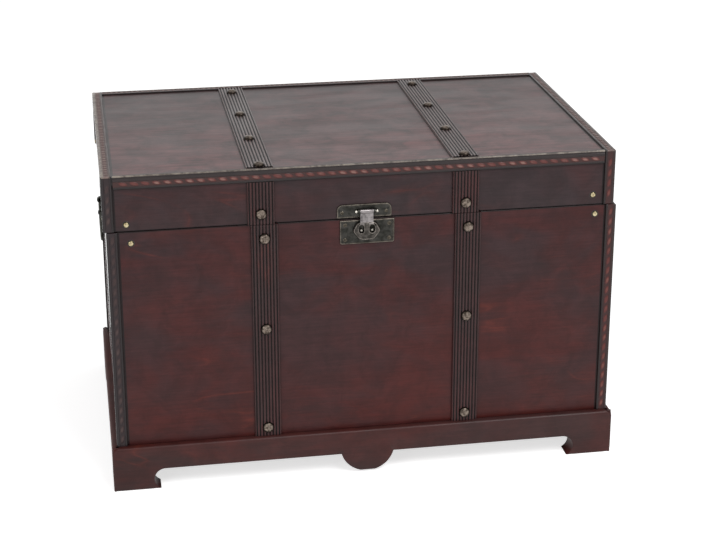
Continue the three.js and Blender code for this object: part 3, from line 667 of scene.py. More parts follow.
def plinth_board(side, out, along, with_drop, material):
    """A board with coved arches and mitred ends, rounded more along its top."""
    node = f"plinth_{side}"
    half = max(abs(p.dot(along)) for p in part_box(node))
    face = max(p.dot(out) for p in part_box(node))
    outline = plinth_elevation(half, with_drop)
    heel = half - FOOT_LENGTH + COVE_RADIUS

    def height(p):
        top = eased(BODY_LOW - p[:, 1], PLINTH_TOP_RADIUS)
        rest = eased(distance(p, outline), PLINTH_EDGE_RADIUS)
        return PLINTH_THICK - np.maximum(top, rest)

    def shear(p):
        x = p[:, 0].copy()
        far = np.abs(x) > heel
        scaled = heel + (np.abs(x) - heel) * (half - PLINTH_THICK - heel) / (half - heel)
        x[far] = (np.sign(x) * scaled)[far]
        return np.stack([x, p[:, 1]], 1)

    def place(u, v, w):
        return along * u + Z * v + out * (face - PLINTH_THICK + w)

    bm = new_mesh()
    relief(bm, outline, height, place, (), PLINTH_SPACING, PLINTH_INSETS, shear)
    piece(f"{node}_board", bm, "chest", [material], [node], 50)


def plinth():
    plinth_board("front", -Y, X, True, PLINTH_WOOD)
    plinth_board("back", Y, -X, False, PLINTH_WOOD)
    plinth_board("left", -X, -Y, False, PLINTH_SIDE_WOOD)
    plinth_board("right", X, Y, False, PLINTH_SIDE_WOOD)


# Straps

GROOVES = 8
GROOVE_PITCH, GROOVE_DEPTH, STRAP_EASE = mm(3.8, 1.05, 0.8)
UPRIGHT_SOFTNESS, TOP_SOFTNESS = 0.36, 0.46


def reed_section(soft):
    """The strap's section, with how high each point lies: a flat back, eased sides and rounded reeds."""
    top, half, ease = STRAP_THICK, STRAP_HALF, STRAP_EASE
    right = [(half, 0), *arc(half - ease, top - ease, ease, 0, 90, 4)]
    left = [*arc(-half + ease, top - ease, ease, 90, 180, 4), (-half, 0)]
    reeds = []
    for i in range(GROOVES - 1, -1, -1):
        centre = (i - (GROOVES - 1) / 2) * GROOVE_PITCH
        for k in range(5, -6, -1):
            share = 0.5 * (1 + cos(pi * k / 5))
            reeds.append((centre + GROOVE_PITCH * soft * k / 5, top - GROOVE_DEPTH * share, 1 - share))
    points = [(*p, 1.0) for p in right] + reeds + [(*p, 1.0) for p in left]
    return [p[:2] for p in points], [p[2] for p in points]


def strap(node, body, material, soft, origin, out, along, length):
    section, rise = reed_section(soft)
    bm = new_mesh()
    # The reed heights ride in each point's mask; the strap woods paint shade into the grooves by it.
    strip(bm, section, origin, X, out, along, length, 1, rise)
    piece(f"{node}_reeds", bm, body, [material], [node], 50)


def straps():
    for side in ("left", "right"):
        for part, body in PARTS:
            node = f"{part}_strap_{side}"
            start = Vector((middle(node).x, FRONT, low(node).z))
            strap(node, body, STRAP_WOOD, UPRIGHT_SOFTNESS, start, -Y, Z, span(node, 2))
        node = f"top_strap_{side}"
        start = Vector((middle(node).x, low(node).y, LID_TOP))
        strap(node, "lid", TOP_STRAP_SHEEN_WOOD, TOP_SOFTNESS, start, Z, Y, span(node, 1))


# Trims

TRIM_EDGE, TRIM_EASE, TRIM_GAP, TRIM_END_RADIUS = mm(1.6, 0.5, 1.2, 1.7)
BAR_GAP, BACK_GAP, TOLERANCE = mm(0.02, 0.1, 0.1)
CHANNEL_DEPTH, CHANNEL_HALF, CHANNEL_SIDE, CHANNEL_FRONT = mm(0.55, 3.1, 6.7, 10)
DARK_WIDTH, RUBBED_WIDTH, WORN_END, RING_SPACING = mm(0.6, 3.7, 16, 14)
GROOVE_POINTS = mm(2.0, 2.4, 3.1, 3.6)
LOZENGE_PITCH, RIB_PITCH = mm(12.5, 6.7)
LOZENGE_HALF_LENGTH, LOZENGE_HALF_WIDTH = mm(5.2, 2.7)
LOZENGE_SLANT = 0.85
LOZENGE_RINGS = ((1.0, -0.15), (0.85, 0.4), (0.62, 0.8), (0.36, 0.96), (0.14, 1.0))
LOZENGE_SIDES = 12


@dataclass
class Leg:
    """One leg of a trim, by its length from the corner, what is pressed or rubbed into its face, and the
    sheen painted on it.
    """

    length: float
    channel: float = 0.0
    groove: bool = False
    wear_and_light: float = 0.0
    rubbed: float = 0.0
    pitch: float = LOZENGE_PITCH
    size: tuple = (1.0, 1.0)

    def profile(self):
        """(distance from the corner, depth below the face) along the leg."""
        ease = TRIM_EASE
        points = [(TRIM_EDGE, 0.0)]
        if self.groove:
            points += zip(GROOVE_POINTS, (0, ease, ease, 0))
        if self.channel:
            near, far = self.channel - CHANNEL_HALF, self.channel + CHANNEL_HALF
            points += [(near - ease, 0), (near, CHANNEL_DEPTH), (far, CHANNEL_DEPTH), (far + ease, 0)]
        return points + [(self.length - ease, 0), (self.length, ease)]

    def wear_and_light_at(self, s):
        """The leg's rubbing and painted sheen at a distance from the corner. Its inner edge is dark."""
        if s >= self.length - DARK_WIDTH:
            return -1.0
        return self.rubbed if self.rubbed and s < RUBBED_WIDTH else self.wear_and_light

    def has_floor(self, p, q):
        """True for the face between two points of a section, if it is the floor that the strands lie on."""
        wide = max(p[1], q[1]) < TRIM_THICK * 0.9 and abs(p[0] - q[0]) > CHANNEL_HALF
        return wide and self.channel > 0 and abs((p[0] + q[0]) / 2 - self.channel) < CHANNEL_HALF + TOLERANCE


def angle_section(leg_a, leg_b):
    """An angle's section with its outer corner at zero, and each point's value for rubbing and painted sheen.
    """
    t = TRIM_THICK
    corner = arc(TRIM_EDGE, TRIM_EDGE, TRIM_EDGE, 270, 180, 6)[1:-1]
    profile_a, profile_b = leg_a.profile()[::-1], leg_b.profile()
    section = [(leg_a.length, t), *profile_a, *corner, *[(d, s) for s, d in profile_b]]
    section += [(t, leg_b.length), (t, t)]
    edge = max(leg.rubbed or leg.wear_and_light or -0.8 for leg in (leg_a, leg_b))
    wear_and_light_a = [leg_a.wear_and_light_at(s) for s, _ in profile_a]
    wear_and_light_b = [leg_b.wear_and_light_at(s) for s, _ in profile_b]
    return section, [-1.0, *wear_and_light_a, *[edge] * len(corner), *wear_and_light_b, -1.0, -1.0]


def bar_section(leg):
    """The section of a leg that stands alone under another trim, as (distance from the corner, depth)."""
    profile = [(TRIM_THICK + BAR_GAP, 0.0)] + [p for p in leg.profile() if p[0] > TRIM_THICK + TOLERANCE]
    section = [(profile[0][0], TRIM_THICK), *profile, (leg.length, TRIM_THICK)]
    return section, [-1.0, *[leg.wear_and_light_at(s) for s, _ in profile], -1.0]


def lozenge(bm, centre, along, across, out, slant, size, rng):
    """One raised strand of the rope pattern."""
    rings = []
    grow = rng.uniform(0.94, 1.04)
    rise = CHANNEL_DEPTH * rng.uniform(1.0, 1.25)
    for share, lift in LOZENGE_RINGS:
        verts = []
        for k in range(LOZENGE_SIDES):
            angle = 2 * pi * k / LOZENGE_SIDES
            c, s = cos(angle), sin(angle)
            u = copysign(abs(c) ** 0.9, c) * LOZENGE_HALF_LENGTH * size[0] * share * grow
            v = copysign(abs(s) ** 0.8, s) * LOZENGE_HALF_WIDTH * size[1] * share * grow
            at = centre + along * (u + v * slant * size[0]) + across * v + out * (rise * lift)
            # The lift rides in each point's mask; the rope strands paint a highlight on top and shade low
            # down by it.
            verts.append(point(bm, at, max(0.0, lift)))
        rings.append(verts)
    for face in bridge(bm, rings, first=False):
        face.material_index = 1


def strands(bm, origin, along, across, out, length, leg, slant, seed):
    """The strands along one leg of a trim."""
    rng = random.Random(seed)
    count = max(1, int((length - leg.pitch * 0.4) / leg.pitch))
    first = (length - (count - 1) * leg.pitch) / 2
    for i in range(count):
        centre = origin + along * (first + i * leg.pitch) + across * leg.channel - out * CHANNEL_DEPTH
        lozenge(bm, centre, along, across, out, slant, leg.size, rng)


def stops_along(length, first, last):
    """The places of a trim's rings: close together at a rounded end, and even between the ends."""
    stops = [0.0, length]
    for share in (0.1, 0.3, 0.6, 1.0):
        stops += [first * share] * bool(first) + [length - last * share] * bool(last)
    steps = max(1, int(length / RING_SPACING))
    even = [length * i / steps for i in range(1, steps)]
    widest = max(first, last)
    return sorted(stops + [stop for stop in even if widest < stop < length - widest])


def trim(bm, origin, leg_a, leg_b, a_way, b_way, along, length, slants, seed, rounded=(0.0, 0.0)):
    """An angle trim from its corner line. Leg A lies along a_way and leg B along b_way."""
    section, wear_and_light = angle_section(leg_a, leg_b)
    rings = []
    for stop in stops_along(length, *rounded):
        sink = min(TRIM_THICK, max(eased(stop, rounded[0]), eased(length - stop, rounded[1])))
        near_end = max(0.0, 1 - min(stop, length - stop) / WORN_END)
        at = origin + along * stop
        rings.append([
            point(bm, at + a_way * max(a, sink) + b_way * max(b, sink), value * (1 + 1.5 * near_end))
            for (a, b), value in zip(section, wear_and_light)
        ])
    pairs = zip(section, section[1:] + section[:1])
    slots = [int(leg_a.has_floor(p, q) or leg_b.has_floor(p[::-1], q[::-1])) for p, q in pairs]
    for face, slot in zip(bridge(bm, rings), slots * (len(rings) - 1)):
        face.material_index = slot
    for leg, way, out, slant in ((leg_a, a_way, -b_way, slants[0]), (leg_b, b_way, -a_way, slants[1])):
        if leg.channel:
            strands(bm, origin, along, way, out, length, leg, slant, seed)
            seed += 1


PLAIN_LEG = Leg(TRIM_LEG, CHANNEL_SIDE)
# The ribbed top legs get painted sheen through their wear value.
RIBBED_LEG = Leg(TRIM_LEG, CHANNEL_SIDE, pitch=RIB_PITCH, size=(0.5, 1.1), wear_and_light=0.25)


def corner_trim(part, body, front, side):
    """An upright trim on a corner, with its end at the seam rounded."""
    node = f"{part}_corner_{front}_{side}"
    a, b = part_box(node)
    x, x_way = (a.x, X) if side == "left" else (b.x, -X)
    y, y_way = (a.y, Y) if front == "front" else (b.y, -Y)
    slants = (x_way.x * LOZENGE_SLANT, -LOZENGE_SLANT)
    rounded = (TRIM_END_RADIUS, 0.0) if part == "lid" else (0.0, TRIM_END_RADIUS)
    bm = new_mesh()
    start = Vector((x, y, a.z))
    trim(bm, start, PLAIN_LEG, PLAIN_LEG, x_way, y_way, Z, b.z - a.z, slants, len(node) * 7, rounded)
    piece(f"{node}_trim", bm, body, TRIM_DARK if side == "left" else TRIM_RED, [node], 35)


def corner_trims():
    for part, body in PARTS:
        for front in ("front", "back"):
            for side in ("left", "right"):
                corner_trim(part, body, front, side)


def front_edge_trim():
    a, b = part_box("lid_edge_front")
    face = Leg(b.z - a.z, CHANNEL_FRONT, groove=True)
    # The narrow top leg is painted pale as sheen.
    narrow = Leg(b.y - a.y, wear_and_light=0.8)
    start = Vector((a.x + TRIM_GAP, a.y, b.z))
    bm = new_mesh()
    trim(bm, start, face, narrow, -Z, Y, X, b.x - a.x - 2 * TRIM_GAP, (LOZENGE_SLANT, 0), 31)
    piece("lid_edge_front_trim", bm, "lid", TRIM_BRIGHT, ["lid_edge_front"], 35)


def back_edge_trim():
    a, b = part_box("lid_edge_back")
    slants = (-LOZENGE_SLANT, LOZENGE_SLANT * 0.5)
    start = Vector((a.x + BACK_GAP, b.y, b.z))
    bm = new_mesh()
    trim(bm, start, PLAIN_LEG, RIBBED_LEG, -Z, -Y, X, b.x - a.x - 2 * BACK_GAP, slants, 37)
    piece("lid_edge_back_trim", bm, "lid", TRIM_TOP_SHEEN, ["lid_edge_back"], 35)


def side_edge_trim(side, x_way):
    """A trim with its ribbed leg on the top, and below it a bar that stops short of the corner trims."""
    node = f"lid_edge_{side}"
    a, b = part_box(node)
    x = a.x if side == "left" else b.x
    cap = Leg(TRIM_THICK)
    top = replace(RIBBED_LEG, rubbed=0.9) if side == "left" else RIBBED_LEG
    slants = (0.0, -x_way.x * LOZENGE_SLANT * 0.5)
    rounded = (TRIM_END_RADIUS, TRIM_END_RADIUS)
    bm = new_mesh()
    trim(bm, Vector((x, a.y, b.z)), cap, top, -Z, x_way, Y, b.y - a.y, slants, 43, rounded)
    start = Vector((x, a.y + TRIM_LEG + TRIM_GAP, b.z))
    length = b.y - a.y - 2 * (TRIM_LEG + TRIM_GAP)
    section, wear_and_light = bar_section(PLAIN_LEG)
    strip(bm, section, start, -Z, x_way, Y, length, 1, wear_and_light)
    strands(bm, start, Y, -Z, -x_way, length, PLAIN_LEG, x_way.x * LOZENGE_SLANT, 41)
    piece(f"{node}_trim", bm, "lid", TRIM_TOP_SHEEN, [node], 35)


# Studs and nails

STUD_RIM, SMOOTH_FOOT, FACET_DEPTH, FACET_RISE, DOME_CENTRE = mm(0.35, 0.3, 0.55, 1.2, 2)
FACET_SCALE = 380
NAIL_RADIUS, NAIL_HEIGHT, NAIL_RIM, NAIL_SHADOW_RING, NAIL_SHADOW_THICK = mm(3.5, 2.1, 0.3, 4.4, 0.15)
NAIL_Z = {"body": (SEAM - 14 * MM, SEAM - 11.3 * MM), "lid": (LID_LOW + 8.2 * MM, LID_LOW + 12.2 * MM)}
NAIL_INSET = {"body": mm(27.5, 25.6), "lid": mm(26.6, 25.6)}


def hammered(seed):
    """A dome's own unevenness: shallow facets that overlap."""
    shift = Vector((seed * 3.7, seed * 1.3, seed * 2.1))

    def bend(p):
        if p.z <= SMOOTH_FOOT:
            return p
        cells = noise.voronoi((p + shift * 0.01) * FACET_SCALE)[0]
        push = (cells[0] - 0.42) * FACET_DEPTH
        away = Vector((p.x, p.y, p.z + DOME_CENTRE)).normalized()
        return p + away * push * min(1.0, p.z / FACET_RISE)
    return bend


def dome_profile(radius, rise, rim, rings):
    profile = [(0, 0), (radius, 0), (radius, rim)]
    for i in range(1, rings):
        angle = pi / 2 * i / rings
        profile.append((radius * cos(angle) * 0.97, rim + (rise - rim) * sin(angle)))
    return profile + [(0, rise)]


def stud(name, body, at, seed, replaces=()):
    """A hammered dome on the lid's top or, for all other names, on the front."""
    on_top = name.startswith("top")
    top_z = LID_TOP + STRAP_THICK
    matrix = on_face(Z, Y, at.x, at.y, top_z) if on_top else on_face(-Y, Z, at.x, FRONT - STRAP_THICK, at.z)
    bm = new_mesh()
    lathe(bm, dome_profile(STUD_RADIUS, STUD_HEIGHT, STUD_RIM, 10), matrix, 36, hammered(seed))
    piece(f"{name}_dome", bm, body, [STUD_METAL], replaces, 50)


def studs():
    seed = 1
    for side in ("left", "right"):
        nodes = [(f"body_stud_{side}_{level}", "chest") for level in ("bottom", "middle", "top")]
        nodes += [(f"lid_stud_{side}", "lid")] + [(f"top_stud_{side}_{i}", "lid") for i in (1, 2, 3)]
        for node, body in nodes:
            stud(node, body, middle(node), seed, [node])
            seed += 1
        last = middle(f"top_stud_{side}_3")
        stud(f"top_stud_{side}_4", "lid", Vector((last.x, last.y + TOP_STUD_PITCH, 0)), seed + 20)


def corner_nails():
    """Small bright nails, each on a dark ring of painted shadow, near each corner at the seam."""
    profile = dome_profile(NAIL_RADIUS, NAIL_HEIGHT, NAIL_RIM, 8)
    thick = NAIL_SHADOW_THICK
    shadow_ring_profile = [(0, 0), (NAIL_SHADOW_RING, 0), (NAIL_SHADOW_RING - thick, thick), (0, thick)]
    for part, body in PARTS:
        centre = LID_SHIFT if part == "lid" else 0.0
        nails, rings = new_mesh(), new_mesh()
        for sx, z, inset in zip((-1, 1), NAIL_Z[part], NAIL_INSET[part]):
            for sy in (-1, 1):
                x = centre + sx * (SIDE + TRIM_THICK - inset)
                front = on_face(Y * sy, Z, x, FRONT if sy < 0 else BACK, z)
                side = on_face(X * sx, Z, centre + sx * SIDE, sy * (TRIM_THICK - FRONT - inset), z)
                for place in (front, side):
                    lathe(nails, profile, place, 24)
                    lathe(rings, shadow_ring_profile, place, 24)
        piece(f"{part}_corner_nails", nails, body, [NAIL_METAL])
        # The dark rings under the nails are painted shadow.
        piece(f"{part}_nail_shadow_rings", rings, body, [TRIM_DARK[0]])


# Plates, lugs and screws

PLATE_EASE, PLATE_SPACING, WORN_EDGE, SCREW_RECESS, SCREW_SPACING = mm(0.35, 1.5, 0.7, 0.55, 0.36)
RIM_STEPS = (0.12, 0.3, 0.5, 0.75, 1.0)


def shape_plate(bm, outline, matrix, thickness, holes=(), rim=(0.0, 0.0), open_side=None,
                spacing=PLATE_SPACING):
    """A pressed plate, with a rolled rim of (width, height) along its outline except on an open side."""
    loop = dense(outline, spacing)
    width, rise = rim

    def height(p):
        gap = distance(p, loop)
        h = thickness - eased(gap, PLATE_EASE)
        if width:
            bead = np.sqrt(np.maximum(1 - ((gap - width / 2) / (width / 2)) ** 2, 0))
            if open_side is not None:
                bead = bead * np.clip(np.abs(p[:, 1] - open_side) / width, 0, 1)
            h = np.maximum(h, thickness + (rise - thickness) * bead)
        return h

    def wear_and_light(p):
        return np.clip(1 - np.abs(distance(p, loop) - width / 2) / max(width * 0.6, WORN_EDGE), 0, 1)

    insets = [width * share for share in RIM_STEPS] if width else mm(0.2, 0.6)
    relief(bm, outline, height, place_on(matrix), holes, spacing, insets, wear_and_light=wear_and_light)


def lug(bm, matrix, axis, radius, foot, start, thick, ease, spacing, insets, steps, way=1):
    """A lug with a round end about its axis (out, up), drawn sideways from start to an eased face."""
    out, up = axis
    outline = [*arc(out, up, radius, -90, 90, steps), (foot, up + radius), (foot, up - radius)]

    def height(p):
        return thick - eased(distance(p, outline), ease)

    def place(u, v, w):
        return matrix @ Vector((start + way * w, v, u))

    relief(bm, outline, height, place, (), spacing, insets)


def screw(bm, matrix, radius, rise, turn):
    """A countersunk screw head with a cross recess."""
    c, s = cos(turn), sin(turn)

    def height(p):
        r = np.linalg.norm(p, axis=1)
        u, v = p[:, 0] * c + p[:, 1] * s, -p[:, 0] * s + p[:, 1] * c
        h = rise * (1 - 0.75 * (r / radius) ** 2)
        cross = ((np.abs(u) < 0.16 * radius) | (np.abs(v) < 0.16 * radius)) & (r < 0.68 * radius)
        return np.where(cross, h - SCREW_RECESS, h)

    relief(bm, arc(0, 0, radius, 0, 342, 19), height, place_on(matrix), (), SCREW_SPACING)


# Latch

LATCH_X = middle("strike_plate").x
PIN = middle("hasp_pin")
PLATE_THICK = 1.2 * MM
PLATE_RIM = mm(1.3, 1.9)
UPPER_CORNER, LOWER_CORNER, SEAM_CORNER = mm(6.5, 2.5, 0.6)
EAR_RADIUS, EAR_THICK, EAR_GAP = mm(2.8, 2.4, 0.3)
EAR_FACE = (*mm(0.3, 0.8), mm(0.3))
SNAP_RADIUS, SNAP_DROP, SNAP_NECK = mm(1.7, 23, 2.2)
UPPER_SCREW, LOWER_SCREW = mm(2.1, 1.0), mm(2.4, 1.0)
SCREW_INSET, UPPER_SCREW_Z = mm(6, 6.2)
LOWER_SCREW_DROPS = mm(7, 25.2)
PIN_HEAD, PIN_SHAFT, BARREL_RADIUS = mm(1.9, 1.2, 2.6)
HASP_NECK, HASP_TOP, HASP_RISE = mm(15.4, 12.8, 22.8)
HASP_WIDTHS = mm(22, 34.4, 17)
HASP_THICK, HASP_EDGE, HASP_SLOPE, HASP_STAND, HASP_SPACING = mm(4.4, 1.4, 6.5, 0.5, 0.8)
NECK_FRONT, NECK_BACK, NECK_BEND, NECK_LAP = mm(-0.9, -0.2, 1, 3)
EYE_EASE, EYE_WEAR, OUTLINE_STEP = mm(0.4, 0.9, 1)
HASP_INSETS = mm(0.4, 0.8, 1.2, 1.7, 2.3, 3.0)
HASP_RIM, HASP_GROOVE, EYE_GROOVE = mm(1.1, 0.6, 0.7), mm(2.6, 0.7, 0.5), mm(1.5, 0.5, 0.45)
EYE_HALF, EYE_HALF_HEIGHT, EYE_SPACING, EYE_DROP = mm(3.2, 5.2, 12.6, 21.4)


def on_front(x, z, depth=0.0):
    return on_face(-Y, Z, x, FRONT - depth, z)


def hasp_plate():
    """The upper plate and the two ears that hold the pin."""
    a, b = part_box("hasp_plate")
    half, centre_x = (b.x - a.x) / 2, (a.x + b.x) / 2
    matrix = on_front(centre_x, a.z)
    bm = new_mesh()
    outline = rounded_box(-half, half, 0, b.z - a.z, SEAM_CORNER, UPPER_CORNER)
    shape_plate(bm, outline, matrix, PLATE_THICK, rim=PLATE_RIM, open_side=0.0)
    for side in (-1, 1):
        inner = PIN.x - centre_x + side * (HASP_NECK / 2 + EAR_GAP)
        start = min(inner, inner + side * EAR_THICK)
        axis = (FRONT - PIN.y, PIN.z - a.z)
        lug(bm, matrix, axis, EAR_RADIUS, PLATE_THICK / 2, start, EAR_THICK, *EAR_FACE, 12)
    piece("hasp_plate_pressed", bm, "lid", [LATCH_METAL], ["hasp_plate"])


def strike_plate():
    a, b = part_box("strike_plate")
    half, rise = (b.x - a.x) / 2, b.z - a.z
    bm = new_mesh()
    outline = rounded_box(-half, half, 0, rise, LOWER_CORNER, SEAM_CORNER)
    shape_plate(bm, outline, on_front(LATCH_X, a.z), PLATE_THICK, rim=PLATE_RIM, open_side=rise)
    piece("strike_plate_pressed", bm, "chest", [LATCH_METAL], ["strike_plate"])


def snap_studs():
    """The two round-headed studs that the hasp's eyes snap over."""
    reach = FRONT - low("strike_plate").y
    profile = [(0, 0), (SNAP_RADIUS * 0.8, 0), (SNAP_RADIUS * 0.8, reach - SNAP_NECK)]
    profile += arc(0, reach - SNAP_RADIUS, SNAP_RADIUS, 0, 75, 5) + [(0, reach)]
    bm = new_mesh()
    for side in (-1, 1):
        lathe(bm, profile, on_front(PIN.x + side * EYE_SPACING / 2, PIN.z - SNAP_DROP), 20)
    piece("snap_studs", bm, "chest", [SNAP_METAL])


def latch_screws():
    half = span("strike_plate", 0) / 2 - SCREW_INSET
    upper, lower = new_mesh(), new_mesh()
    for side in (-1, 1):
        x, z = middle("hasp_plate").x + side * half, low("hasp_plate").z + UPPER_SCREW_Z
        screw(upper, on_front(x, z, PLATE_THICK), *UPPER_SCREW, 0.5 + side * 0.3)
        for drop in LOWER_SCREW_DROPS:
            z = SEAM - drop
            screw(lower, on_front(LATCH_X + side * half, z, PLATE_THICK), *LOWER_SCREW, side * 40 * z)
    piece("hasp_plate_screws", upper, "lid", [SCREW_METAL])
    piece("strike_plate_screws", lower, "chest", [SCREW_METAL])


def hasp_pin():
    """The pin between the ears, with a ball at each end."""
    length = span("hasp_pin", 0)
    angles = [pi * i / 10 for i in range(1, 9)]
    ball = [(0, 0)] + [(PIN_HEAD * sin(t), PIN_HEAD - PIN_HEAD * cos(t)) for t in angles]
    shaft = [(PIN_SHAFT, PIN_HEAD * 1.7), (PIN_SHAFT, length - PIN_HEAD * 1.7)]
    bm = new_mesh()
    profile = ball + shaft + [(r, length - h) for r, h in reversed(ball)]
    lathe(bm, profile, on_face(X, Z, low("hasp_pin").x, PIN.y, PIN.z), 24)
    piece("hasp_pin_turned", bm, "lid", [PIN_METAL], ["hasp_pin"])


def smooth_loop(corners, rounding, steps=6):
    """A polygon with its corners replaced by curves that start a share of the way along each side."""
    points = []
    for i, corner in enumerate(corners):
        c = Vector(corner)
        a = c.lerp(Vector(corners[i - 1]), rounding)
        b = c.lerp(Vector(corners[(i + 1) % len(corners)]), rounding)
        for k in range(steps + 1):
            t = k / steps
            points.append(tuple(a * (1 - t) ** 2 + c * 2 * t * (1 - t) + b * t ** 2))
    return points


def hasp_boss():
    """The domed part of the hasp, with a rim, a groove inside it and two oval eyes."""
    top, wide, bottom = (w / 2 for w in HASP_WIDTHS)
    high_z, low_z = -HASP_TOP, -HASP_TOP - HASP_RISE
    mid_z = -HASP_TOP - HASP_RISE / 2
    right = [(bottom, low_z), (wide, mid_z), (top, high_z)]
    corners = [(-bottom, low_z), *right, (-top, high_z), (-wide, mid_z)]
    outline = dense(smooth_loop(corners, 0.3), OUTLINE_STEP)
    offset = EYE_HALF_HEIGHT - EYE_HALF
    oval = slot_shape(0, -offset, offset, EYE_HALF, 12)
    eyes = [[(side * EYE_SPACING / 2 + x, -EYE_DROP + y) for x, y in oval] for side in (-1, 1)]

    def height(p):
        gap = distance(p, outline)
        slope = np.sqrt(1 - (1 - np.clip(gap / HASP_SLOPE, 0, 1)) ** 2)
        h = HASP_EDGE + (HASP_THICK - HASP_EDGE) * slope - ridge(gap, *HASP_GROOVE) + ridge(gap, *HASP_RIM)
        for eye in eyes:
            around = distance(p, eye)
            h = h - ridge(around, *EYE_GROOVE) - eased(around, EYE_EASE)
        return np.minimum(h, HASP_THICK)

    def wear_and_light(p):
        rim = np.clip(1 - np.abs(distance(p, outline) - HASP_RIM[0]) / HASP_RIM[0], 0, 1)
        around = np.minimum(distance(p, eyes[0]), distance(p, eyes[1]))
        return np.maximum(rim, 0.7 * np.clip(1 - around / EYE_WEAR, 0, 1))

    bm = new_mesh()
    matrix = on_face(-Y, Z, PIN.x, FRONT - PLATE_THICK - HASP_STAND, PIN.z)
    relief(bm, outline, height, place_on(matrix), eyes, HASP_SPACING, HASP_INSETS, wear_and_light=wear_and_light)
    piece("hasp_boss", bm, "hasp", [HASP_METAL], ["hasp"])


def hasp_neck():
    """A strip that rolls round the pin and runs down under the boss."""
    r, drop = BARREL_RADIUS, -HASP_TOP - NECK_LAP
    near, far = NECK_FRONT, FRONT - PLATE_THICK - HASP_STAND - PIN.y + NECK_BACK
    section = arc(0, 0, r, 210, -90, 20) + [(far, -r - NECK_BEND), (far, drop), (near, drop), (near, -r)]
    bm = new_mesh()
    strip(bm, section, Vector((PIN.x - HASP_NECK / 2, PIN.y, PIN.z)), Y, Z, X, HASP_NECK, 8)
    piece("hasp_neck", bm, "hasp", [NECK_METAL], (), 35)


# Side handles

HANDLE_PLATE_THICK, HANDLE_CORNER, HANDLE_PIVOT, HANDLE_ROD = mm(1.5, 7, 4.5, 2)
HANDLE_RIM, HANDLE_SCREW = mm(2.2, 2.0), mm(3, 1.2)
HANDLE_LUG, HANDLE_LUG_WALL, HANDLE_LUG_FOOT = mm(5, 1.6, 0.8)
HANDLE_SPAN, HANDLE_DROP, HANDLE_SHOULDER, HANDLE_BEND = mm(64, 35, 4.5, 10)
HANDLE_PIVOT_END, HANDLE_STRAIGHT, HANDLE_SPACING = mm(10, 3, 2)


def handle_plate(side, out, pivot):
    node = f"handle_plate_{side}"
    a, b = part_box(node)
    half, rise = (b.y - a.y) / 2, b.z - a.z
    matrix = on_face(out, Z, out.x * SIDE, 0, a.z)
    outline = rounded_box(-half, half, 0, rise, HANDLE_CORNER, HANDLE_CORNER)
    plate, screws = new_mesh(), new_mesh()
    shape_plate(plate, outline, matrix, HANDLE_PLATE_THICK, rim=HANDLE_RIM, spacing=HANDLE_SPACING)
    radius, face = HANDLE_ROD + HANDLE_LUG_WALL, (*mm(0.6, 1.2), mm(0.3, 0.7))
    for way in (-1, 1):
        start = way * (HANDLE_SPAN / 2 - 2 * HANDLE_LUG)
        axis = (HANDLE_PIVOT, pivot.z - a.z)
        lug(plate, matrix, axis, radius, HANDLE_LUG_FOOT, start, HANDLE_LUG, *face, 14, way)
        y = way * (half - SCREW_INSET)
        at = on_face(out, Z, out.x * (SIDE + HANDLE_PLATE_THICK), y, a.z + rise * 0.36)
        screw(screws, at, *HANDLE_SCREW, 0.4 + way)
    piece(f"{node}_pressed", plate, "chest", [HANDLE_METAL], [node])
    piece(f"{node}_screws", screws, "chest", [SCREW_METAL])


def handle_bail(side, pivot):
    leg, end = HANDLE_SPAN / 2, HANDLE_SPAN / 2 - HANDLE_PIVOT_END
    shoulder, corner = HANDLE_SHOULDER, HANDLE_BEND
    half_path = [(end, 0), (end + HANDLE_STRAIGHT, 0)] + arc(leg - shoulder, -shoulder, shoulder, 90, 0, 10)
    half_path += [(leg, -HANDLE_DROP * 0.42)] + arc(leg - corner, -HANDLE_DROP + corner, corner, 0, -90, 14)
    half_path += [(leg * 0.35, -HANDLE_DROP)]
    path = half_path + [(-y, z) for y, z in reversed(half_path)]
    bm = new_mesh()
    tube(bm, [pivot + Vector((0, y, z)) for y, z in path], HANDLE_ROD, 16)
    piece(f"handle_{side}_bail", bm, f"handle_{side}", [HANDLE_METAL], [f"handle_{side}"])


def handles():
    for side, out in (("left", -X), ("right", X)):
        pivot = Vector((out.x * (SIDE + HANDLE_PIVOT), 0, high(f"handle_{side}").z - HANDLE_ROD))
        handle_plate(side, out, pivot)
        handle_bail(side, pivot)


# Hinges

HINGE_THICK, HINGE_START, HINGE_SPACING = mm(1.5, 3.3, 2.5)
HINGE_CORNERS, LEAF_SCREW = mm(0.5, 4), mm(2.4, 0.9)
KNUCKLE, KNUCKLE_EASE, KNUCKLE_GAP = mm(3, 0.4, 0.2)
TONGUE_START, TONGUE_LAP, TONGUE_CORNER = mm(0.4, 0.3, 0.05)


def hinge_axis(side):
    return (low(f"hinge_lid_leaf_{side}").z + high(f"hinge_body_leaf_{side}").z) / 2


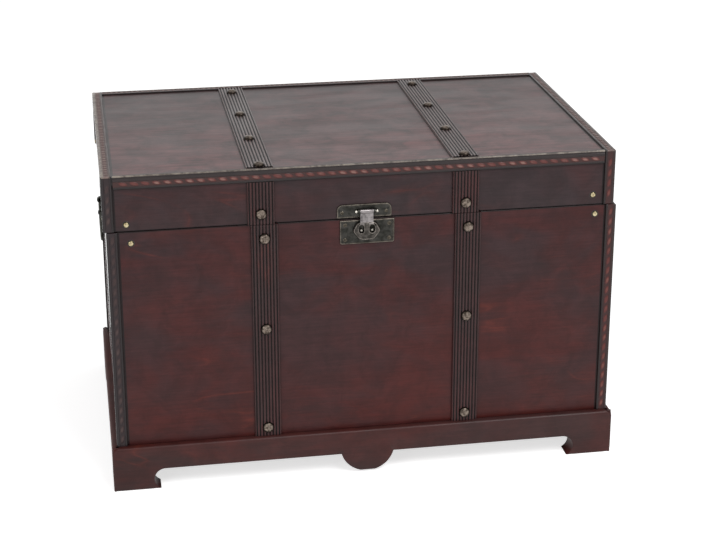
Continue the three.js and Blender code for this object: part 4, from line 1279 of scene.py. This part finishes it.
def hinge_leaf(side, part, body, sign):
    """A leaf with its knuckles, one on the lid's and two on the body's, and three screws."""
    node = f"hinge_{part}_leaf_{side}"
    a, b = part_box(node)
    x, half = (a.x + b.x) / 2, (b.x - a.x) / 2
    axis_z = hinge_axis(side)
    reach = abs((b.z if sign > 0 else a.z) - axis_z)
    matrix = on_face(Y, Z, x, BACK, axis_z)
    leaf, screws = new_mesh(), new_mesh()
    outline = rounded_box(-half, half, *sorted((sign * HINGE_START, sign * reach)), *HINGE_CORNERS[::sign])
    shape_plate(leaf, outline, matrix, HINGE_THICK, spacing=HINGE_SPACING)
    third = half * 2 / 3
    inner, outer = third / 2 - KNUCKLE_GAP, third / 2 + KNUCKLE_GAP
    for x0, x1 in [(-half, -outer), (outer, half)] if part == "body" else [(-inner, inner)]:
        r, ease = KNUCKLE, KNUCKLE_EASE
        profile = [(0, x0), (r - ease, x0), (r, x0 + ease), (r, x1 - ease), (r - ease, x1), (0, x1)]
        lathe(leaf, profile, on_face(X, Z, x, high(node).y - KNUCKLE, axis_z), 24)
        ends = sorted((sign * TONGUE_START, sign * (HINGE_START + TONGUE_LAP)))
        tongue = rounded_box(x0, x1, *ends, TONGUE_CORNER, TONGUE_CORNER)
        shape_plate(leaf, tongue, matrix, HINGE_THICK, spacing=HINGE_SPACING)
    for dx in (-half * 0.62, 0.0, half * 0.62):
        dz = sign * (reach * (0.72 if dx else 0.45))
        screw(screws, on_face(Y, Z, x + dx, BACK + HINGE_THICK, axis_z + dz), *LEAF_SCREW, dx * 300)
    piece(f"{node}_plate", leaf, body, [LATCH_METAL], [node])
    piece(f"{node}_screws", screws, body, [SCREW_METAL])


def hinges():
    for side in ("left", "right"):
        for (part, body), sign in zip(PARTS, (-1, 1)):
            hinge_leaf(side, part, body, sign)


# Lid stay

STAY_THICK, STAY_SPACING, SLOT_HALF = mm(2, 2.2, 2.6)
STAY_RIVET = mm(4.2, 1.8, 0.5)
STAY_SHANK, STAY_HEAD, HEAD_THICK, HEAD_EASE = mm(2.2, 4.6, 1.5, 0.5)
SLOT_PLAY, SHANK_SINK = mm(0.3, 0.5)
FOOT_THICK, FOOT_CORNER, FOOT_SCREW_INSET = mm(1.5, 3, 5)


def stay_arm():
    """The slotted arm with its rivet."""
    a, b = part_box("stay_arm")
    y, half = (a.y + b.y) / 2, (b.y - a.y) / 2
    arm_out = a.x + STAY_THICK
    pivot_z = b.z - half
    slot_top = middle("stay_post").z + SLOT_PLAY
    hole = slot_shape(0, a.z + 1.5 * half, slot_top, SLOT_HALF, 12)
    bm = new_mesh()
    outline = slot_shape(0, a.z + half, pivot_z, half, 16)
    shape_plate(bm, outline, on_face(-X, Z, arm_out, y, 0), STAY_THICK, [hole], spacing=STAY_SPACING)
    lathe(bm, dome_profile(*STAY_RIVET, 6), on_face(-X, Z, a.x, y, pivot_z), 24)
    pin = [(0, 0), (STAY_SHANK, 0), (STAY_SHANK, b.x - arm_out), (0, b.x - arm_out)]
    lathe(bm, pin, on_face(X, Z, arm_out - SHANK_SINK, y, pivot_z), 16)
    piece("stay_arm_slotted", bm, "stay", [STAY_METAL], ["stay_arm"])


def stay_post():
    """The foot on the body's side, with its post as far below the hinge as the arm's pivot is above it."""
    arm_low, arm_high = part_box("stay_arm")
    a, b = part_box("stay_post")
    y, half = (arm_low.y + arm_high.y) / 2, (b.y - a.y) / 2
    pivot_z = arm_high.z - (arm_high.y - arm_low.y) / 2
    post_z = pivot_z - 2 * (pivot_z - hinge_axis("right"))
    reach, head = b.x - a.x, STAY_HEAD
    neck = reach - HEAD_THICK
    profile = [(0, 0), (STAY_SHANK, 0), (STAY_SHANK, neck), (head, neck)]
    profile += [(head, reach - HEAD_EASE), (head - HEAD_EASE, reach), (0, reach)]
    bm = new_mesh()
    outline = rounded_box(-half, half, a.z, b.z, FOOT_CORNER, FOOT_CORNER)
    shape_plate(bm, outline, on_face(-X, Z, b.x, y, 0), FOOT_THICK, spacing=STAY_SPACING)
    lathe(bm, profile, on_face(-X, Z, b.x, y, post_z), 24)
    for z in (a.z + FOOT_SCREW_INSET, b.z - FOOT_SCREW_INSET):
        screw(bm, on_face(-X, Z, b.x - FOOT_THICK, y, z), *LEAF_SCREW, z * 90)
    piece("stay_post_turned", bm, "chest", [STAY_METAL], ["stay_post"])


# Camera, light and floor

IMAGE_WIDTH, IMAGE_HEIGHT = 716, 540
FOCAL_PIXELS = 1720.0
CENTRE_X, CENTRE_Y = 358.0, 206.0
CAMERA_AT = Vector((-325.7, -2023.1, 1002.2)) * MM
CAMERA_TURN = Vector((0.3387, -0.0294, 0.1675))
KEY_POWER, FILL_POWER = 37, 15
AMBIENT = 0.45
FLOOR_GLOW = 0.66
WHITE = (1, 1, 1, 1)
FLOOR_COLOUR = (0.8, 0.8, 0.8, 1)


def camera():
    data = bpy.data.cameras.new("camera")
    data.sensor_fit = "HORIZONTAL"
    data.sensor_width = 36
    data.lens = FOCAL_PIXELS / IMAGE_WIDTH * data.sensor_width
    data.shift_x = (IMAGE_WIDTH / 2 - CENTRE_X) / IMAGE_WIDTH
    data.shift_y = (CENTRE_Y - IMAGE_HEIGHT / 2) / IMAGE_WIDTH
    data.clip_start, data.clip_end = 0.05, 60
    level = Matrix(((1, 0, 0), (0, 0, -1), (0, 1, 0)))
    right, down, ahead = level @ Matrix.Rotation(CAMERA_TURN.length, 3, CAMERA_TURN.normalized())
    obj = linked("camera", data)
    obj.matrix_world = Matrix.Translation(CAMERA_AT) @ Matrix((right, -down, -ahead)).transposed().to_4x4()
    bpy.context.scene.camera = obj


def lamp(name, at, size, power):
    """A rectangular lamp that faces the middle of the chest."""
    data = bpy.data.lights.new(name, "AREA")
    data.shape = "RECTANGLE"
    data.size, data.size_y = size
    data.energy = power
    obj = linked(name, data)
    obj.location = at
    obj.rotation_euler = (Vector((0, 0, 0.2)) - Vector(at)).to_track_quat("-Z", "Y").to_euler()


def studio():
    """Two lamps, and a world that looks white and lights the chest less."""
    bpy.context.scene.view_settings.view_transform = "Standard"
    lamp("key", (0.9, -1.5, 2.2), (1.6, 1.2), KEY_POWER)
    lamp("fill", (-1.9, -1.6, 1.3), (1.6, 1.4), FILL_POWER)

    world = bpy.data.worlds.new("studio")
    bpy.context.scene.world = world
    nodes = Nodes(world)
    ambient = nodes.tree.nodes["Background"]
    nodes.feed(ambient.inputs["Color"], WHITE)
    nodes.feed(ambient.inputs["Strength"], AMBIENT)
    seen = nodes.add("Background", {"Color": WHITE, "Strength": 1.0})
    mix = nodes.add("MixShader", {0: nodes.seen_rays(), 1: ambient.outputs[0], 2: seen.outputs[0]})
    nodes.feed(nodes.tree.nodes["World Output"].inputs["Surface"], mix.outputs[0])


def floor():
    bm = new_mesh()
    bmesh.ops.create_grid(bm, x_segments=1, y_segments=1, size=8)
    s = Shader("floor", Base_Color=FLOOR_COLOUR, Roughness=0.9, Specular_IOR_Level=0.1, Emission_Color=WHITE)
    glow = s.math("MULTIPLY", s.seen_rays(), FLOOR_GLOW)
    meshed("floor", bm, [s.finish(Emission_Strength=glow)])


camera()
studio()
floor()
boards()
plinth()
straps()
corner_trims()
front_edge_trim()
back_edge_trim()
side_edge_trim("left", X)
side_edge_trim("right", -X)
studs()
corner_nails()
hasp_plate()
strike_plate()
snap_studs()
latch_screws()
hasp_pin()
hasp_boss()
hasp_neck()
handles()
hinges()
stay_arm()
stay_post()
